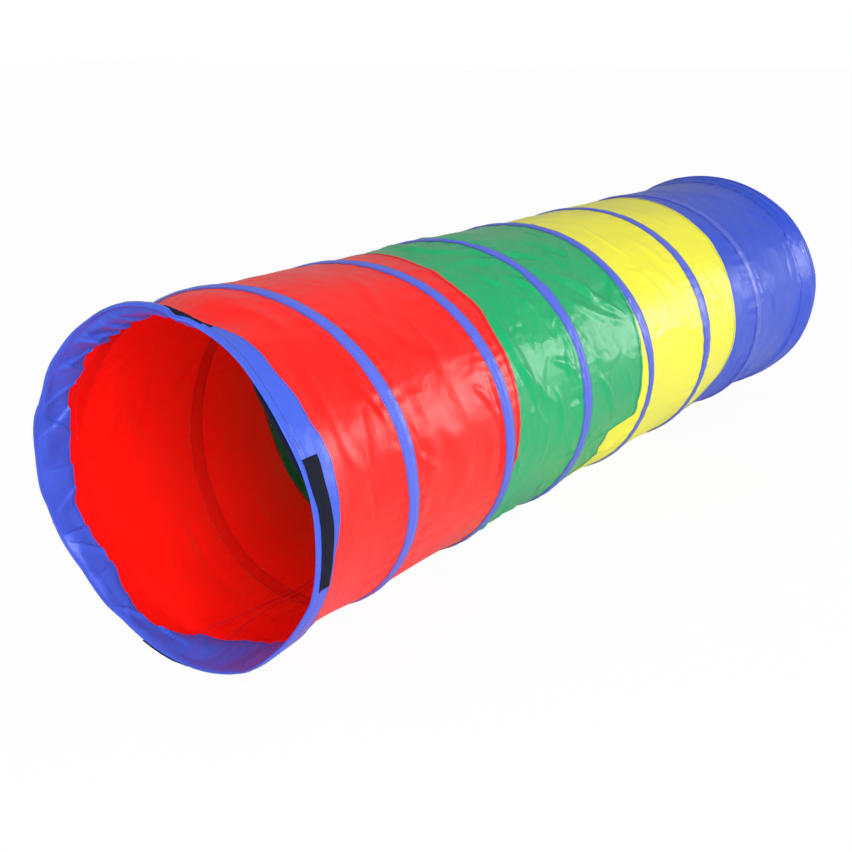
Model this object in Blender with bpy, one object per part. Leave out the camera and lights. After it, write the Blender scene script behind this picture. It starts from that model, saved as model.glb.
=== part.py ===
"""A collapsible crawl-through play tunnel: a spring-wire coil that runs in a sewn channel tape round
four coloured cloth panels, with a doubled cloth cuff and a wire hoop at each mouth.

Metres, +Z up, +X from the front mouth to the rear mouth. The origin is the middle of the object's
footprint on the floor. Angles round the tunnel start at +Y and turn towards +Z.
"""

import math

import bmesh
import bpy
from mathutils import Matrix, Vector

# Overall size
HOOP_DISTANCE = 1.830
CLOTH_RADIUS = 0.2315
HOOP_PROUD = 0.0078

# The coil
WIRE = 0.0025
REAR_STRETCH = 0.0883
REAR_STRETCH_OVER = 600.0
REAR_STRETCH_ENDS = 62.5
FRONT_LEAVES_AT = 322.5
COIL_TURNS = 6
REAR_ARRIVES_AT = 202.5
LAY_RAMP = 60.0
BLEND = 0.0020

# The tilt of each mouth: how far its rim leans along X, and at which angle it leans furthest to +X
FRONT_LEAN, FRONT_LEAN_AT = 0.0430, 320.0
REAR_LEAN, REAR_LEAN_AT = 0.0285, 228.0

# Crimp sleeves that close each hoop
SLEEVE_WALL = 0.0006
SLEEVE_LENGTH = 0.014
WIRE_TAIL = 0.0125

# Cloth
CLOTH = 0.0008
GAP = 0.0003
SEAM_GAP = 0.0003
CUFF_WIDTH = 0.055
RED_LENGTH = 0.440
GREEN_LENGTH = 0.434
YELLOW_LENGTH = 0.466
WAIST = 0.0025
DROOP = 0.0050
CREASE = 0.0012
CRUMPLE = 0.0022
CREASES_ROUND = 7
SEAM_EASE = 0.030

# The channel tape
TAPE_WIDTH = 0.028
CHANNEL_EASE = 0.00095

# The hem of a cuff
HEM_EASE = 0.00025
HEM_SLACK = 0.0004
HEM_STEP = 0.0015
LINING_SETTLES = 0.034
PUCKER = 0.0010

# Hook-and-loop strips
STRIP_THICKNESS = 0.0015
STRIP_WIDTH = 0.030
STRIP_MARGIN = 0.0008
STRIP_HALF_ARC = 20.5
TAB_FROM, TAB_TO = 128.0, 160.0
TAB_PROUD = 0.0060
TAB_WIDTH = 0.026

# Round shapes have this many flats, with one flat at the bottom
FLATS = 24
STEP = 360.0 / FLATS
HALF_STEP = STEP / 2
HEM_SEGMENTS = 5
SLEEVE_SEGMENTS = 10

# Worked-out sizes
HOOP_RADIUS = CLOTH_RADIUS + HOOP_PROUD
LAY = WIRE + 2 * GAP
HEM_ROOM = WIRE / 2 + 2 * GAP + SLEEVE_WALL + HEM_EASE
HEM_DEPTH = LAY + HEM_ROOM + HEM_SLACK
HEM_RADIUS = HEM_ROOM + CLOTH
STRIP_FROM = HEM_DEPTH + HEM_STEP + STRIP_MARGIN
CUFF_FLAT_TO = STRIP_FROM + STRIP_WIDTH + 2 * STRIP_MARGIN
CHANNEL_FOOT = WIRE / 2 + CHANNEL_EASE
CHANNEL_SHOULDER = WIRE / 2 + GAP / 2
OUTER_RADIUS = HOOP_RADIUS + HEM_RADIUS
AXIS_HEIGHT = OUTER_RADIUS * math.cos(math.radians(HALF_STEP))
WIRE_LIFT = GAP + WIRE / 2
BODY_WIRE_RADIUS = CLOTH_RADIUS + WIRE_LIFT
CUFF_OUTER = OUTER_RADIUS - STRIP_THICKNESS - 2 * GAP
BLUE_LENGTH = HOOP_DISTANCE - 2 * CUFF_WIDTH - RED_LENGTH - GREEN_LENGTH - YELLOW_LENGTH
START_TURN = FRONT_LEAVES_AT - 720.0
LEAVE_TURN = FRONT_LEAVES_AT - 360.0
ARRIVE_TURN = REAR_ARRIVES_AT + 360.0 * COIL_TURNS
END_TURN = ARRIVE_TURN + 360.0

COLOURS = {
    "wire": ((0.50, 0.51, 0.53), 0.30, 1.0),
    "sleeve": ((0.62, 0.62, 0.62), 0.35, 1.0),
    "violet_cloth": ((0.095, 0.125, 0.78), 0.55, 0.0),
    "red_cloth": ((0.78, 0.02, 0.02), 0.50, 0.0),
    "green_cloth": ((0.03, 0.45, 0.14), 0.50, 0.0),
    "yellow_cloth": ((0.90, 0.88, 0.07), 0.50, 0.0),
    "blue_cloth": ((0.06, 0.10, 0.68), 0.50, 0.0),
    "black_strip": ((0.012, 0.014, 0.016), 0.90, 0.0),
}


def smooth(t):
    """A smooth step from 0 to 1."""
    t = min(1.0, max(0.0, t))
    return t * t * (3 - 2 * t)


def ring_point(angle, radius):
    """Y and Z, from the tunnel's axis, of a point at this angle in degrees."""
    a = math.radians(angle)
    return radius * math.cos(a), radius * math.sin(a)


def lean(end, y, z):
    """How far the plane of an end hoop lies towards +X at this place, from the hoop's centre."""
    size, at = (FRONT_LEAN, FRONT_LEAN_AT) if end == "front" else (REAR_LEAN, REAR_LEAN_AT)
    a = math.radians(at)
    return size / HOOP_RADIUS * (y * math.cos(a) + z * math.sin(a))


def lean_at(end, angle, radius):
    return lean(end, *ring_point(angle, radius))


def end_x(end, angle, radius, depth):
    """X, from the front hoop's centre, of a point this deep inside the mouth."""
    if end == "front":
        return lean_at(end, angle, radius) + depth
    return HOOP_DISTANCE + lean_at(end, angle, radius) - depth


# The coil leaves the front hoop's plane and arrives at the rear hoop's plane at the stated angles
LEAVES_AT = end_x("front", LEAVE_TURN, HOOP_RADIUS, 0.0)
ARRIVES_AT = end_x("rear", ARRIVE_TURN, HOOP_RADIUS, 0.0)
PITCH = (ARRIVES_AT - LEAVES_AT - REAR_STRETCH) * 360 / (ARRIVE_TURN - LEAVE_TURN)


def helix(turn):
    """X of the free coil at a turn angle in degrees, from the front hoop's centre."""
    stretched = (turn - ARRIVE_TURN + REAR_STRETCH_ENDS) / REAR_STRETCH_OVER + 1
    return LEAVES_AT + PITCH * (turn - LEAVE_TURN) / 360 + REAR_STRETCH * smooth(stretched)


def wire_x(turn):
    """X of the wire: once round the front hoop, along the coil, and once round the rear hoop.

    Where the wire leaves a hoop it runs beside the wire's own end, a small lay apart.
    """
    front = end_x("front", turn, HOOP_RADIUS, 0.0)
    front += LAY * smooth((turn - LEAVE_TURN + STEP + LAY_RAMP) / LAY_RAMP)
    rear = end_x("rear", turn, HOOP_RADIUS, 0.0)
    rear -= LAY * (1 - smooth((turn - ARRIVE_TURN - STEP) / LAY_RAMP))
    free = helix(turn)
    later = 0.5 * (front + free + math.hypot(front - free, BLEND))
    return 0.5 * (rear + later - math.hypot(rear - later, BLEND))


def wire_radius(x, angle):
    """The wire comes in from a hoop's radius to the body's before it reaches the cuff's seam."""
    radius = BODY_WIRE_RADIUS
    for _ in range(5):
        depth = min(
            x - end_x("front", angle, radius, 0.0),
            end_x("rear", angle, radius, 0.0) - x,
        )
        inward = min(1.0, max(0.0, depth / LINING_SETTLES))
        radius = HOOP_RADIUS - (HOOP_RADIUS - BODY_WIRE_RADIUS) * inward
    return radius


def wire_corner(turn):
    x = wire_x(turn)
    return Vector((x, *ring_point(turn, wire_radius(x, turn))))


def wire_route():
    """The wire's points, one a flat, with a short tail past each crimp sleeve."""
    count = round((END_TURN - START_TURN) / STEP)
    corners = [wire_corner(START_TURN + STEP * i) for i in range(count + 1)]
    before, after = wire_corner(START_TURN - STEP), wire_corner(END_TURN + STEP)
    first = (before + corners[0]) / 2
    first += (before - corners[0]).normalized() * WIRE_TAIL
    last = (corners[-1] + after) / 2
    last += (after - corners[-1]).normalized() * WIRE_TAIL
    return [first, *corners, last]


def least_gap_to_itself(points):
    """Least clear space between two turns of the wire, measured between points along its segments."""
    fine = []
    for a, b in zip(points, points[1:]):
        fine += [a.lerp(b, i / 12) for i in range(12)]
    fine.append(points[-1])
    near = 4 * 12
    least = 1.0
    for i, a in enumerate(fine):
        for b in fine[i + near :]:
            if abs(a.x - b.x) < 0.02:
                least = min(least, (a - b).length)
    return least - WIRE


def seam_crossing(end):
    """Angle at which the wire passes the seam between this end's cuff and its panel."""
    turn = LEAVE_TURN if end == "front" else ARRIVE_TURN
    way = 1.0 if end == "front" else -1.0
    while True:
        angle = turn % 360
        depth = way * (wire_x(turn) - end_x(end, angle, BODY_WIRE_RADIUS, 0.0))
        if depth > CUFF_WIDTH:
            return angle
        turn += 0.5 * way


def angle_between(a, b):
    return abs((a - b + 180) % 360 - 180)


def panel_dip(x, angle):
    """How far the cloth between two turns of tape hangs in from the taut cylinder."""
    place = x - helix(angle)
    turn = angle
    while place >= helix(turn + 360) - helix(turn):
        place -= helix(turn + 360) - helix(turn)
        turn += 360
    while place < 0:
        turn -= 360
        place += helix(turn + 360) - helix(turn)
    free = helix(turn + 360) - helix(turn) - TAPE_WIDTH - 2 * GAP
    across = (place - TAPE_WIDTH / 2 - GAP) / free
    if not 0 < across < 1:
        return 0.0
    hang = WAIST + DROOP * math.sin(math.radians(angle))
    green_middle = CUFF_WIDTH + RED_LENGTH + GREEN_LENGTH / 2
    crumpled = smooth(1 - abs(x - green_middle) / GREEN_LENGTH)
    fold = math.sin(math.radians(CREASES_ROUND * angle) + 5 * across + x / PITCH)
    hang += (CREASE + CRUMPLE * crumpled) * fold
    depth = min(
        x - end_x("front", angle, CLOTH_RADIUS, CUFF_WIDTH),
        end_x("rear", angle, CLOTH_RADIUS, CUFF_WIDTH) - x,
    )
    return hang * 4 * across * (1 - across) * smooth(depth / SEAM_EASE)


def polar(point):
    """Angle in degrees and radius of a point about the tunnel's axis."""
    angle = math.degrees(math.atan2(point.z, point.y)) % 360
    return angle, math.hypot(point.y, point.z)


def scale_radius(point, radius, was):
    point.y *= radius / was
    point.z *= radius / was


def plane_of_seam(end, depth):
    """A point on, and the normal towards +X of, the leaning plane this deep inside a mouth."""
    y_slope, z_slope = lean(end, 1.0, 0.0), lean(end, 0.0, 1.0)
    return Vector((end_x(end, 0.0, 0.0, depth), 0, 0)), Vector((1, -y_slope, -z_slope)).normalized()


def cut(bm, place, normal, keep, fill):
    """Cuts away what lies beyond a plane: keep is +1 for the normal's side and -1 for the other."""
    made = bmesh.ops.bisect_plane(
        bm,
        geom=bm.verts[:] + bm.edges[:] + bm.faces[:],
        dist=1e-6,
        plane_co=place,
        plane_no=normal,
        clear_inner=keep > 0,
        clear_outer=keep < 0,
    )
    if fill:
        edges = [e for e in made["geom_cut"] if isinstance(e, bmesh.types.BMEdge)]
        bmesh.ops.edgeloop_fill(bm, edges=edges)


def score(bm, place, normal):
    """Adds an edge line along a plane, and cuts nothing away."""
    bmesh.ops.bisect_plane(
        bm, geom=bm.verts[:] + bm.edges[:] + bm.faces[:], dist=1e-6, plane_co=place, plane_no=normal
    )


def thicken(bm, amount):
    """Gives an open sheet a second face this far out from the tunnel's axis, or in if it is negative."""
    faces = bm.faces[:]
    made = bmesh.ops.extrude_face_region(bm, geom=faces, use_keep_orig=True)
    for vert in made["geom"]:
        if isinstance(vert, bmesh.types.BMVert):
            _, radius = polar(vert.co)
            scale_radius(vert.co, radius + amount, radius)
    bmesh.ops.recalc_face_normals(bm, faces=bm.faces)


def finish(name, bm, body, colour, smooth_angle=30):
    """Makes the object, places it from its body's centre, and gives it its material."""
    mesh = bpy.data.meshes.new(name)
    bmesh.ops.translate(bm, verts=bm.verts, vec=(X_FRONT, 0, AXIS_HEIGHT))
    bmesh.ops.translate(bm, verts=bm.verts, vec=-body.location)
    bm.to_mesh(mesh)
    bm.free()
    mesh.shade_smooth()
    mesh.set_sharp_from_angle(angle=math.radians(smooth_angle))
    obj = bpy.data.objects.new(name, mesh)
    add_part(obj, body, colour)
    return obj


def add_part(obj, body, colour):
    PARTS.objects.link(obj)
    obj.parent = body
    obj.data.materials.append(material(colour))


def material(name):
    found = bpy.data.materials.get(name)
    if found:
        return found
    made = bpy.data.materials.new(name)
    made.use_nodes = True
    colour, roughness, metallic = COLOURS[name]
    shader = made.node_tree.nodes["Principled BSDF"]
    shader.inputs["Base Color"].default_value = (*colour, 1)
    shader.inputs["Roughness"].default_value = roughness
    shader.inputs["Metallic"].default_value = metallic
    made.diffuse_color = (*colour, 1)
    return made


def body_empty(name, x):
    """An empty for a body that slides along X, on the tunnel's axis at the body's middle."""
    empty = bpy.data.objects.new(name + "_body", None)
    empty.location = (X_FRONT + x, 0, AXIS_HEIGHT)
    empty.empty_display_size = 0.05
    PARTS.objects.link(empty)
    return empty


def hem_arc(radius):
    """Half circle round the hoop wire, from its inner side round the mouth's edge to its outer side."""
    for i in range(HEM_SEGMENTS + 1):
        a = math.radians(-90 - 180 * i / HEM_SEGMENTS)
        yield radius * math.cos(a), HOOP_RADIUS + radius * math.sin(a)


def cuff_profile():
    """Depth and radius round the section of a cuff: one cloth folded over the hoop, open at its seam."""
    end = CUFF_WIDTH - SEAM_GAP / 2
    inner = CLOTH_RADIUS
    outer = CLOTH_RADIUS + GAP
    step_end = HEM_DEPTH + HEM_STEP
    skin = [(end, inner - CLOTH), (LINING_SETTLES, inner - CLOTH), *hem_arc(HEM_RADIUS)]
    skin += [(HEM_DEPTH, OUTER_RADIUS), (step_end, CUFF_OUTER)]
    skin += [(CUFF_FLAT_TO, CUFF_OUTER), (end, outer + CLOTH)]
    lining = [(end, outer), (CUFF_FLAT_TO, CUFF_OUTER - CLOTH), (step_end, CUFF_OUTER - CLOTH)]
    lining += [(HEM_DEPTH, HOOP_RADIUS + HEM_ROOM), *reversed(list(hem_arc(HEM_ROOM)))]
    lining += [(LINING_SETTLES, inner), (end, inner)]
    return skin + lining


def cuff_lining_radius(depth):
    """Radius of the cuff's inner face at this depth."""
    inward = min(1.0, max(0.0, depth) / LINING_SETTLES)
    start = HOOP_RADIUS - HEM_RADIUS
    return start + (CLOTH_RADIUS - CLOTH - start) * inward


def make_cuff(name, end, body, colour):
    """Spins the section, then lifts the outer layer where the wire comes out, puckers it and leans it."""
    bm = bmesh.new()
    start = HALF_STEP
    verts = [bm.verts.new((d, *ring_point(start, r))) for d, r in cuff_profile()]
    edges = [bm.edges.new(pair) for pair in zip(verts, verts[1:] + verts[:1])]
    bmesh.ops.spin(
        bm, geom=verts + edges, cent=(0, 0, 0), axis=(1, 0, 0), angle=2 * math.pi, steps=FLATS,
        use_merge=True,
    )
    crossing = seam_crossing(end)
    tunnel = WIRE + GAP
    for vert in bm.verts:
        angle, radius = polar(vert.co)
        depth = vert.co.x
        if depth > CUFF_WIDTH - SEAM_GAP and radius > CLOTH_RADIUS + GAP / 2:
            if angle_between(angle, crossing) < STEP:
                scale_radius(vert.co, radius + tunnel, radius)
            elif round((angle - HALF_STEP) / STEP) % 2:
                scale_radius(vert.co, radius + PUCKER, radius)
        angle, radius = polar(vert.co)
        vert.co.x = end_x(end, angle, radius, depth)
    bmesh.ops.recalc_face_normals(bm, faces=bm.faces)
    return finish(name, bm, body, colour)


def panel_skin():
    """The whole tunnel's taut skin, wound along the coil with lines at the tape's edges and between."""
    bm = bmesh.new()
    edge = TAPE_WIDTH / 2 + GAP
    columns = [-edge, edge]
    columns += [edge + (PITCH - 2 * edge) * i / 4 for i in (1, 2, 3)]
    columns += [PITCH - edge]
    first_turn = -2
    turns = COIL_TURNS + 4
    shift = PITCH * (first_turn + HALF_STEP / 360)
    verts = [bm.verts.new((shift + x, *ring_point(HALF_STEP, CLOTH_RADIUS))) for x in columns]
    edges = [bm.edges.new(pair) for pair in zip(verts, verts[1:])]
    bmesh.ops.spin(
        bm, geom=verts + edges, cent=(0, 0, 0), axis=(1, 0, 0), angle=2 * math.pi * turns,
        steps=FLATS * turns, dvec=(PITCH / FLATS, 0, 0),
    )
    bmesh.ops.remove_doubles(bm, verts=bm.verts, dist=1e-5)
    for vert in bm.verts:
        angle, _ = polar(vert.co)
        whole = vert.co.x / PITCH - angle / 360 + edge / PITCH + 1e-6
        turn = math.floor(whole)
        across = (whole - turn) * PITCH - edge
        here, later = helix(angle + 360 * turn), helix(angle + 360 * (turn + 1))
        if across > edge:
            part = (across - edge) / (PITCH - 2 * edge)
            across = edge + part * (later - here - 2 * edge)
        vert.co.x = here + across
    bmesh.ops.recalc_face_normals(bm, faces=bm.faces)
    return bm


def make_panel(name, low, high, body, colour):
    """Cuts one panel out of the skin, lets it hang between the tapes and gives it its thickness.

    low and high are each a plane: a point on it and its normal towards +X.
    """
    bm = panel_skin()
    cut(bm, *low, keep=1, fill=False)
    cut(bm, *high, keep=-1, fill=False)
    for end, way in (("front", 1), ("rear", -1)):
        place, normal = plane_of_seam(end, CUFF_WIDTH + SEAM_EASE)
        score(bm, place, normal)
    for vert in bm.verts:
        angle, radius = polar(vert.co)
        scale_radius(vert.co, radius - panel_dip(vert.co.x, angle), radius)
    thicken(bm, -CLOTH)
    return finish(name, bm, body, colour)


def tape_profile():
    """Distance along X from the wire, and height over the cloth, round the tape's section."""
    half = TAPE_WIDTH / 2
    top = GAP + WIRE + GAP
    under = [(CHANNEL_FOOT, GAP), (CHANNEL_SHOULDER, top)]
    over = [(half, GAP), (half, GAP + CLOTH), (CHANNEL_FOOT + CLOTH, GAP + CLOTH)]
    over += [(CHANNEL_SHOULDER + CLOTH / 2, top + CLOTH)]
    left = [(-x, h) for x, h in over]
    right = [(x, h) for x, h in reversed(over)]
    return left + right + under + [(-x, h) for x, h in reversed(under)]


def make_tape(name, body, colour):
    """Winds the tape's section along the coil and cuts it off square with the cuffs' seams."""
    bm = bmesh.new()
    first_turn = -1
    turns = COIL_TURNS + 2
    shift = PITCH * (first_turn + HALF_STEP / 360)
    verts = [
        bm.verts.new((shift + x, *ring_point(HALF_STEP, CLOTH_RADIUS + h))) for x, h in tape_profile()
    ]
    edges = [bm.edges.new(pair) for pair in zip(verts, verts[1:] + verts[:1])]
    ends = [bm.faces.new(verts)]
    made = bmesh.ops.spin(
        bm, geom=verts + edges, cent=(0, 0, 0), axis=(1, 0, 0), angle=2 * math.pi * turns,
        steps=FLATS * turns, dvec=(PITCH / FLATS, 0, 0),
    )
    last = [v for v in made["geom_last"] if isinstance(v, bmesh.types.BMVert)]
    last_edges = [e for e in made["geom_last"] if isinstance(e, bmesh.types.BMEdge)]
    ends += bmesh.ops.edgeloop_fill(bm, edges=last_edges)["faces"]
    if len(last) != len(verts):
        raise RuntimeError("the tape's last section is incomplete")
    for vert in bm.verts:
        angle, _ = polar(vert.co)
        whole = vert.co.x / PITCH - angle / 360
        turn = round(whole)
        vert.co.x = helix(angle + 360 * turn) + (whole - turn) * PITCH
    cut(bm, *plane_of_seam("front", CUFF_WIDTH + SEAM_GAP / 2), keep=1, fill=True)
    cut(bm, *plane_of_seam("rear", CUFF_WIDTH + SEAM_GAP / 2), keep=-1, fill=True)
    bmesh.ops.recalc_face_normals(bm, faces=bm.faces)
    return finish(name, bm, body, colour)


def make_wire(name, body, colour):
    points = wire_route()
    print(f"least gap of the wire to itself: {1000 * least_gap_to_itself(points):.2f} mm")
    curve = bpy.data.curves.new(name, "CURVE")
    curve.dimensions = "3D"
    curve.bevel_depth = WIRE / 2
    curve.bevel_resolution = 1
    curve.use_fill_caps = True
    spline = curve.splines.new("POLY")
    spline.points.add(len(points) - 1)
    for target, point in zip(spline.points, points):
        target.co = (*(point + Vector((X_FRONT, 0, AXIS_HEIGHT)) - body.location), 1)
    obj = bpy.data.objects.new(name, curve)
    add_part(obj, body, colour)
    return obj


def stadium(spline, half_length, radius):
    """A slot-shaped outline, long along X."""
    points = []
    for side in (1, -1):
        for i in range(SLEEVE_SEGMENTS // 2 + 1):
            a = math.radians(side * 90 - 180 * i / (SLEEVE_SEGMENTS // 2)) if side > 0 else (
                math.radians(-90 - 180 * i / (SLEEVE_SEGMENTS // 2))
            )
            points.append((side * half_length + radius * math.cos(a), radius * math.sin(a)))
    spline.points.add(len(points) - 1)
    for target, (x, y) in zip(spline.points, points):
        target.co = (x, y, 0, 1)
    spline.use_cyclic_u = True


def make_sleeve(name, turn, other, body, colour):
    """A crimp sleeve round the two wires that lie side by side on the flat after this turn angle."""
    near = wire_corner(turn), wire_corner(turn + STEP)
    far = wire_corner(other), wire_corner(other + STEP)
    middle = sum((*near, *far), Vector()) / 4
    along = (near[1] - near[0] + far[1] - far[0]).normalized()
    apart = ((near[0] + near[1]) - (far[0] + far[1])) / 2
    across = (apart - along * apart.dot(along)).normalized()
    curve = bpy.data.curves.new(name, "CURVE")
    curve.dimensions = "2D"
    curve.fill_mode = "BOTH"
    curve.extrude = SLEEVE_LENGTH / 2
    bore = WIRE / 2 + GAP
    stadium(curve.splines.new("POLY"), apart.length / 2, bore + SLEEVE_WALL)
    stadium(curve.splines.new("POLY"), apart.length / 2, bore)
    obj = bpy.data.objects.new(name, curve)
    add_part(obj, body, colour)
    turned = Matrix((across, along.cross(across), along)).transposed().to_4x4()
    place = middle + Vector((X_FRONT, 0, AXIS_HEIGHT)) - body.location
    obj.matrix_local = Matrix.Translation(place) @ turned
    return obj


def flat_angles(low, high):
    """Angles from low to high with each corner of the flats between them."""
    corners = [HALF_STEP + STEP * i for i in range(-FLATS, 2 * FLATS)]
    return [low, *[a for a in corners if low < a < high], high]


def on_flat(angle, corner_radius):
    """Radius at this angle of a flat whose corners have this radius."""
    off = (angle % STEP) - HALF_STEP
    apothem = corner_radius * math.cos(math.radians(HALF_STEP))
    return apothem / math.cos(math.radians(HALF_STEP - abs(off)))


def make_strip(name, end, low, high, depths, base_radius, thickness, body, colour):
    """A strip sewn to a cuff: base_radius gives the radius of its sewn face at each depth."""
    bm = bmesh.new()
    angles = flat_angles(low, high)
    rows = []
    for angle in angles:
        row = []
        for depth in depths:
            radius = on_flat(angle, base_radius(depth))
            y, z = ring_point(angle, radius)
            row.append(bm.verts.new((end_x(end, angle, radius, depth), y, z)))
        rows.append(row)
    for row, later in zip(rows, rows[1:]):
        for i in range(len(depths) - 1):
            bm.faces.new((row[i], row[i + 1], later[i + 1], later[i]))
    thicken(bm, thickness)
    return finish(name, bm, body, colour)


def end_reach():
    """Lowest and highest X of the cuffs and of what stands proud of them, from the front hoop."""
    corners = [HALF_STEP + STEP * i for i in range(FLATS)]
    low = min(end_x("front", a, r, d) for a in corners for d, r in cuff_profile())
    tab_radius = cuff_lining_radius(0) - GAP
    for angle in flat_angles(TAB_FROM, TAB_TO):
        low = min(low, end_x("front", angle, on_flat(angle, tab_radius), -TAB_PROUD))
    high = max(end_x("rear", a, r, d) for a in corners for d, r in cuff_profile())
    return low, high


def main():
    front = body_empty("front_end", 0.0)
    rear = body_empty("rear_end", HOOP_DISTANCE)

    seams = [CUFF_WIDTH]
    for length in (RED_LENGTH, GREEN_LENGTH, YELLOW_LENGTH, BLUE_LENGTH):
        seams.append(seams[-1] + length)
    colours = ("red", "green", "yellow", "blue")
    for i, colour in enumerate(colours):
        section = body_empty(colour + "_section", (seams[i] + seams[i + 1]) / 2)
        low = Vector((seams[i] + SEAM_GAP / 2, 0, 0)), Vector((1, 0, 0))
        high = Vector((seams[i + 1] - SEAM_GAP / 2, 0, 0)), Vector((1, 0, 0))
        if i == 0:
            low = plane_of_seam("front", CUFF_WIDTH + SEAM_GAP / 2)
        if i == len(colours) - 1:
            high = plane_of_seam("rear", CUFF_WIDTH + SEAM_GAP / 2)
        make_panel(colour + "_panel", low, high, section, colour + "_cloth")

    make_wire("spring_wire", front, "wire")
    make_sleeve("front_crimp_sleeve", LEAVE_TURN - STEP, START_TURN - STEP, front, "sleeve")
    make_sleeve("rear_crimp_sleeve", END_TURN, ARRIVE_TURN, rear, "sleeve")
    make_tape("wire_channel_tape", front, "violet_cloth")
    make_cuff("front_cuff", "front", front, "violet_cloth")
    make_cuff("rear_cuff", "rear", rear, "blue_cloth")

    clock = {"far": 0.0, "top": 90.0, "near": 180.0, "bottom": 270.0}
    depths = (STRIP_FROM, STRIP_FROM + STRIP_WIDTH)
    for side, at in clock.items():
        span = at - STRIP_HALF_ARC, at + STRIP_HALF_ARC
        make_strip(
            f"front_strip_{side}", "front", *span, depths, lambda depth: CUFF_OUTER + GAP,
            STRIP_THICKNESS, front, "black_strip",
        )
        make_strip(
            f"rear_strip_{side}", "rear", *span, (depths[0], LINING_SETTLES, depths[1]),
            lambda depth: cuff_lining_radius(depth) - GAP, -STRIP_THICKNESS, rear, "black_strip",
        )
    tab_depths = (-TAB_PROUD, 0.0, TAB_WIDTH - TAB_PROUD)
    make_strip(
        "front_inner_strip", "front", TAB_FROM, TAB_TO, tab_depths,
        lambda depth: cuff_lining_radius(depth) - GAP, -STRIP_THICKNESS, front, "black_strip",
    )


for old in list(bpy.data.objects):
    bpy.data.objects.remove(old, do_unlink=True)
PARTS = bpy.data.collections.new("play_tunnel")
bpy.context.scene.collection.children.link(PARTS)
X_FRONT = -sum(end_reach()) / 2
main()
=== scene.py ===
"""A collapsible crawl-through play tunnel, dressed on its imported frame.

Lengths are in metres. Along the tunnel x counts from the centre of the front hoop, and angles round
it are in degrees from +Y, the side away from the camera, towards +Z. A turn is an angle that keeps
counting as the coil winds on. Depth is the distance in from a mouth's hoop, which leans and is a
little bent, as in the photograph.
"""

import logging
import math
import random
from dataclasses import dataclass, field
from enum import Enum
from functools import partial
from typing import Callable

import bmesh
import bpy
import numpy as np
from mathutils import Matrix, Vector


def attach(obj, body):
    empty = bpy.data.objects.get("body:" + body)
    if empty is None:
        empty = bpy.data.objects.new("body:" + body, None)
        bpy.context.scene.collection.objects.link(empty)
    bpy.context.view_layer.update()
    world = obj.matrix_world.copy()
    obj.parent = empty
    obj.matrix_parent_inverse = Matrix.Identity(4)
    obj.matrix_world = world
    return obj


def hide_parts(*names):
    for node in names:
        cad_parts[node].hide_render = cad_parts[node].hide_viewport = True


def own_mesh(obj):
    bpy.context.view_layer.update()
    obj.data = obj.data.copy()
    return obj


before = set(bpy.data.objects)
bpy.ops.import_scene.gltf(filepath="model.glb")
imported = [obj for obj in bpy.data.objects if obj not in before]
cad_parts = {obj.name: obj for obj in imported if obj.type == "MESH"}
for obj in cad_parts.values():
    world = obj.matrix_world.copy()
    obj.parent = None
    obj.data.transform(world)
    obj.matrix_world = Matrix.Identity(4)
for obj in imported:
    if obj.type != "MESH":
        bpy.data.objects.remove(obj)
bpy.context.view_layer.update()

LOG = logging.getLogger("play_tunnel")
UV_NAME = "cloth"
WELD = 2e-6
WHITE = (1.0, 1.0, 1.0, 1.0)

Numbers = np.ndarray
Colour = tuple[float, float, float]
Point = tuple[float, float, float]
Place = tuple[Numbers, Numbers]


def smooth_step(share: Numbers) -> Numbers:
    """A smooth rise from 0 to 1.

    Args:
        share: Where along the rise; below 0 gives 0 and above 1 gives 1.

    Returns:
        The height of the rise there.
    """
    held = np.clip(share, 0.0, 1.0)
    return held * held * (3.0 - 2.0 * held)


def turned_from(angle: Numbers, about: float | Numbers) -> Numbers:
    """The angle measured from another, between -180 and 180."""
    return (np.asarray(angle) - about + 180.0) % 360.0 - 180.0


def swell(where: Numbers, at: float | Numbers, reach: float, power: int = 2) -> Numbers:
    """A smooth bump of height 1 at one place; a higher power makes it flatter on top."""
    return np.exp(-(((where - at) / reach) ** power))


@dataclass(frozen=True)
class Gathers:
    """Sharp little gathers whose spacing wanders: a wave with straight sides and rounded tips."""

    beats: float
    wander: float
    wander_beats: float
    sharp: float = 0.985

    def at(self, t: Numbers, shift: float | Numbers = 0.0, twist: float = 0.0) -> Numbers:
        """Reads the gathers.

        Args:
            t: Angles in radians.
            shift: What is added to the wave's phase.
            twist: What is added to the phase of its wandering.

        Returns:
            Their height at each angle, between -1 and 1.
        """
        phase = self.beats * t + self.wander * np.sin(self.wander_beats * t + twist) + shift
        return np.arcsin(self.sharp * np.sin(phase)) / math.asin(self.sharp)


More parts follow.
